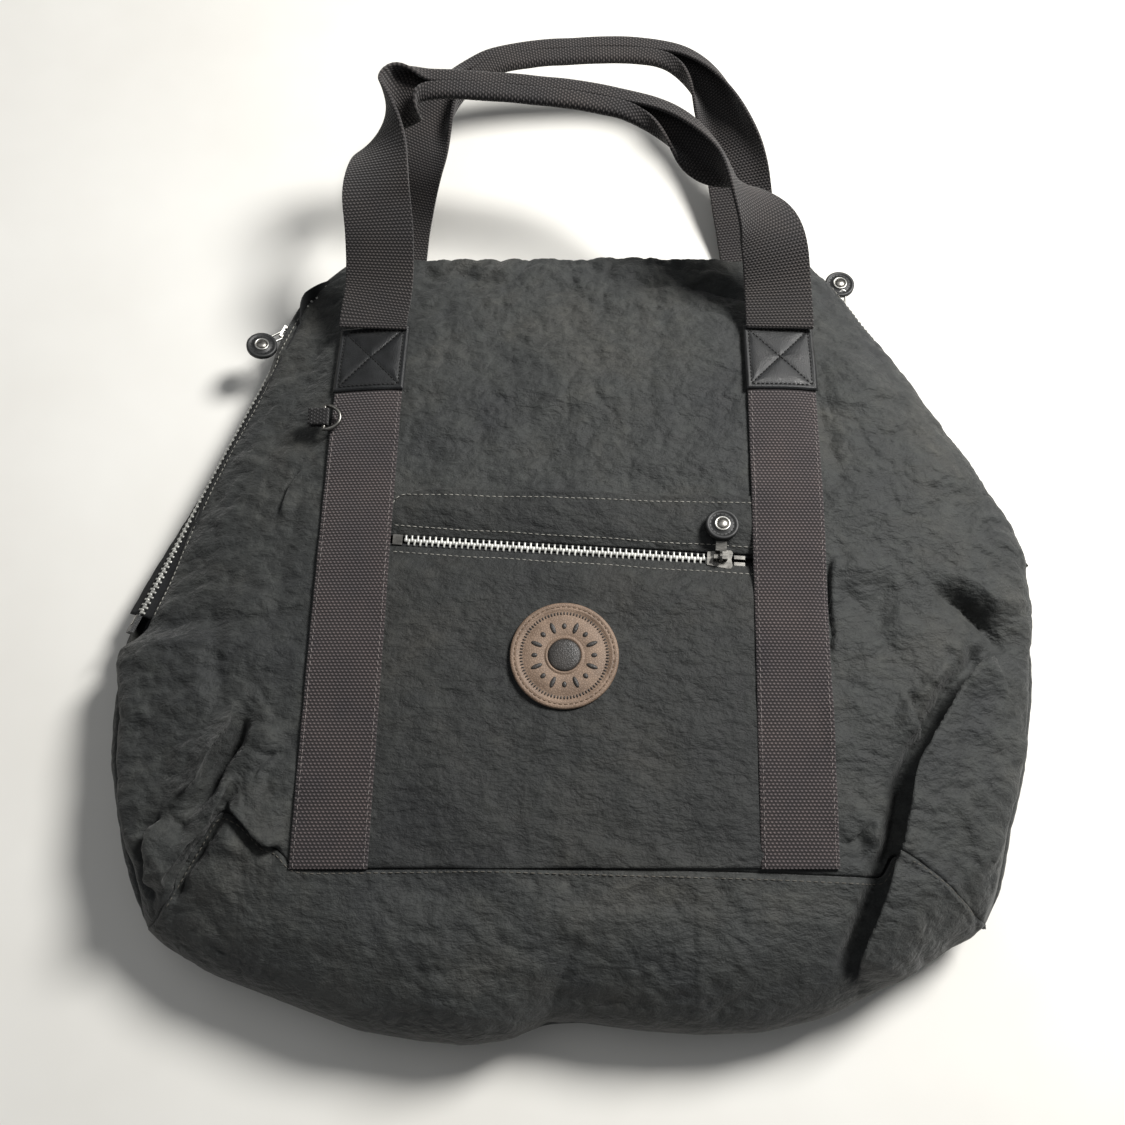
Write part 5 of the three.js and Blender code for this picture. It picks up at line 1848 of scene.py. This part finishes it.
def rubber(name):
    """Dusty black rubber."""
    s = Shader(name)
    place = s.place()
    dust = s.noise(place, 0.25, 4, 0.65)
    pores = s.noise(place, 2.0, 2, 0.6)
    s.set(Base_Color=s.ramp(dust, [(0.35, srgb(20, 21, 22)), (0.8, srgb(44, 45, 45))]))
    s.set(Roughness=s.greys(pores, (0.3, 0.45), (0.7, 0.62)))
    s.set(Normal=s.bump(pores, 0.2, 0.15))
    return s.material


def thread(name, colour):
    """Twisted sewing thread."""
    s = Shader(name)
    place = s.place((1, 1, 1), (0, 0, 0.6))
    twist = s.node("TexWave", {"Vector": place, "Scale": 1.6, "Distortion": 1.0})
    dirt = s.noise(place, 0.08, 3, 0.6)
    base = s.ramp(dirt, [(0.3, srgb(*(c * 0.78 for c in colour))), (0.7, srgb(*colour))])
    s.set(Base_Color=s.mix(0.35, base, twist.outputs["Color"]))
    s.set(Roughness=s.greys(dirt, (0.2, 0.6), (0.8, 0.8)))
    s.set(Normal=s.bump(twist.outputs["Fac"], 0.4, 0.2))
    return s.material


def lining_cloth(name):
    """Thin dark lining, with painted shade in its folds' hollows and painted light on their tops."""
    s = Shader(name)
    place = s.place()
    cells = s.node("TexChecker", {"Vector": place, "Scale": 1.2})
    folds = s.noise(place, 0.05, 4, 0.6)
    # Painted shade and light: the tone is darker where the folds' bump is low and lighter where it is high.
    base = s.ramp(folds, [(0.3, srgb(34, 36, 38)), (0.7, srgb(54, 56, 58))])
    s.set(Base_Color=s.mix(0.15, base, cells.outputs["Color"]))
    s.set(Roughness=s.greys(folds, (0.2, 0.6), (0.8, 0.75)))
    s.set(Normal=s.bump(folds, 0.6, 3))
    return s.material


def floor_material():
    """A plain pale floor."""
    s = Shader("pale_floor")
    place = s.place()
    mottle = s.noise(place, 0.004, 4, 0.6)
    fine = s.noise(place, 0.08, 4, 0.6)
    base = s.ramp(mottle, [(0.3, srgb(226, 224, 218)), (0.7, srgb(236, 235, 230))])
    s.set(Base_Color=base, Roughness=s.greys(fine, (0.3, 0.5), (0.7, 0.62)))
    s.set(Normal=s.bump(fine, 0.04, 0.4))
    return s.material


def add_floor(material):
    points = FLOOR_HALF * np.array([(-1, -1, 0), (1, -1, 0), (1, 1, 0), (-1, 1, 0)])
    floor = make_mesh("floor", points, np.array([[0, 1, 2, 3]]), material)


# ---- build ----------------------------------------------------------------------------------------

add_camera()
add_world()
add_light("key", (0.8, 0.57, 1.13), (0, 0, 0), 0.5, 37, (1.0, 0.985, 0.96))
add_light("fill", (-0.5, 0.4, 1.6), (0, 0, 0), 1.3, 2.5)
add_floor(floor_material())
bpy.context.scene.view_settings.view_transform = "Standard"

NYLON = nylon("nylon_shell")
POCKET_NYLON = nylon("nylon_pocket", 0.82)
WEBBING = webbing("taupe_webbing", (69, 64, 65))
# The handles' webbing: a greyer colour than the straps', and darker as painted shade.
GREYER_SHADED_HANDLE_WEBBING = webbing("handle_webbing", (56, 54, 54))
BLACK_WEBBING = webbing("black_webbing", (34, 34, 35))
LEATHER = leather("black_leather", (16, 17, 18), (31, 33, 35), 0.9, 0.48)
BADGE_LEATHER = leather("badge_leather", (112, 92, 76), (146, 124, 106), 0.8, 0.6)
DARK_RELIEF = leather("badge_relief", (38, 36, 34), (64, 60, 57), 0.8, 0.5)
TAPE = tape_cloth("zip_tape")
TEETH = plastic_teeth("zip_teeth")
GUNMETAL = worn_metal("gunmetal", (84, 83, 80), (146, 144, 139), 0.26)
SILVER = worn_metal("silver", (150, 150, 146), (206, 205, 200), 0.28)
RUBBER = rubber("disc_rubber")
LINING = lining_cloth("lining_cloth")
PALE_THREAD = thread("pale_thread", (170, 168, 160))
BLACK_THREAD = thread("black_thread", (7, 7, 7))
TAN_THREAD = thread("tan_thread", (120, 98, 78))
STRAP_THREAD = thread("strap_thread", (142, 134, 132))
BASE_THREAD = thread("base_thread", (112, 108, 100))

front_grid = make_front(NYLON)
make_base(NYLON)
make_back(NYLON)
make_lining(LINING)
for strap_side in (-1, 1):
    strap_grid = make_strap(strap_side, True, WEBBING)
    sew_band("strap_stitches_" + side_name(strap_side), strap_grid, (2, -3), STRAP_THREAD)
    make_strap(strap_side, False, WEBBING)
    make_patch(strap_side, True, LEATHER, BLACK_THREAD)
    make_patch(strap_side, False, LEATHER, BLACK_THREAD)
make_pocket(POCKET_NYLON)
sew_pocket(PALE_THREAD)
sew_base(BASE_THREAD)
sew_side_zips(front_grid, PALE_THREAD)
make_pocket_zip(TAPE, TEETH)
make_main_zip(TAPE, TEETH)
make_badge(BADGE_LEATHER, DARK_RELIEF, TAN_THREAD)
make_ring(GUNMETAL, BLACK_WEBBING)

make_handle("handle_front", FRONT_HANDLE, FRONT_FOLDING, GREYER_SHADED_HANDLE_WEBBING)
make_handle("handle_back", BACK_HANDLE, BACK_FOLDING, GREYER_SHADED_HANDLE_WEBBING)
make_pulls(RUBBER, SILVER, GUNMETAL)
make_right_end(LEATHER, GUNMETAL)
dress_hardware(GUNMETAL, RUBBER, LEATHER)
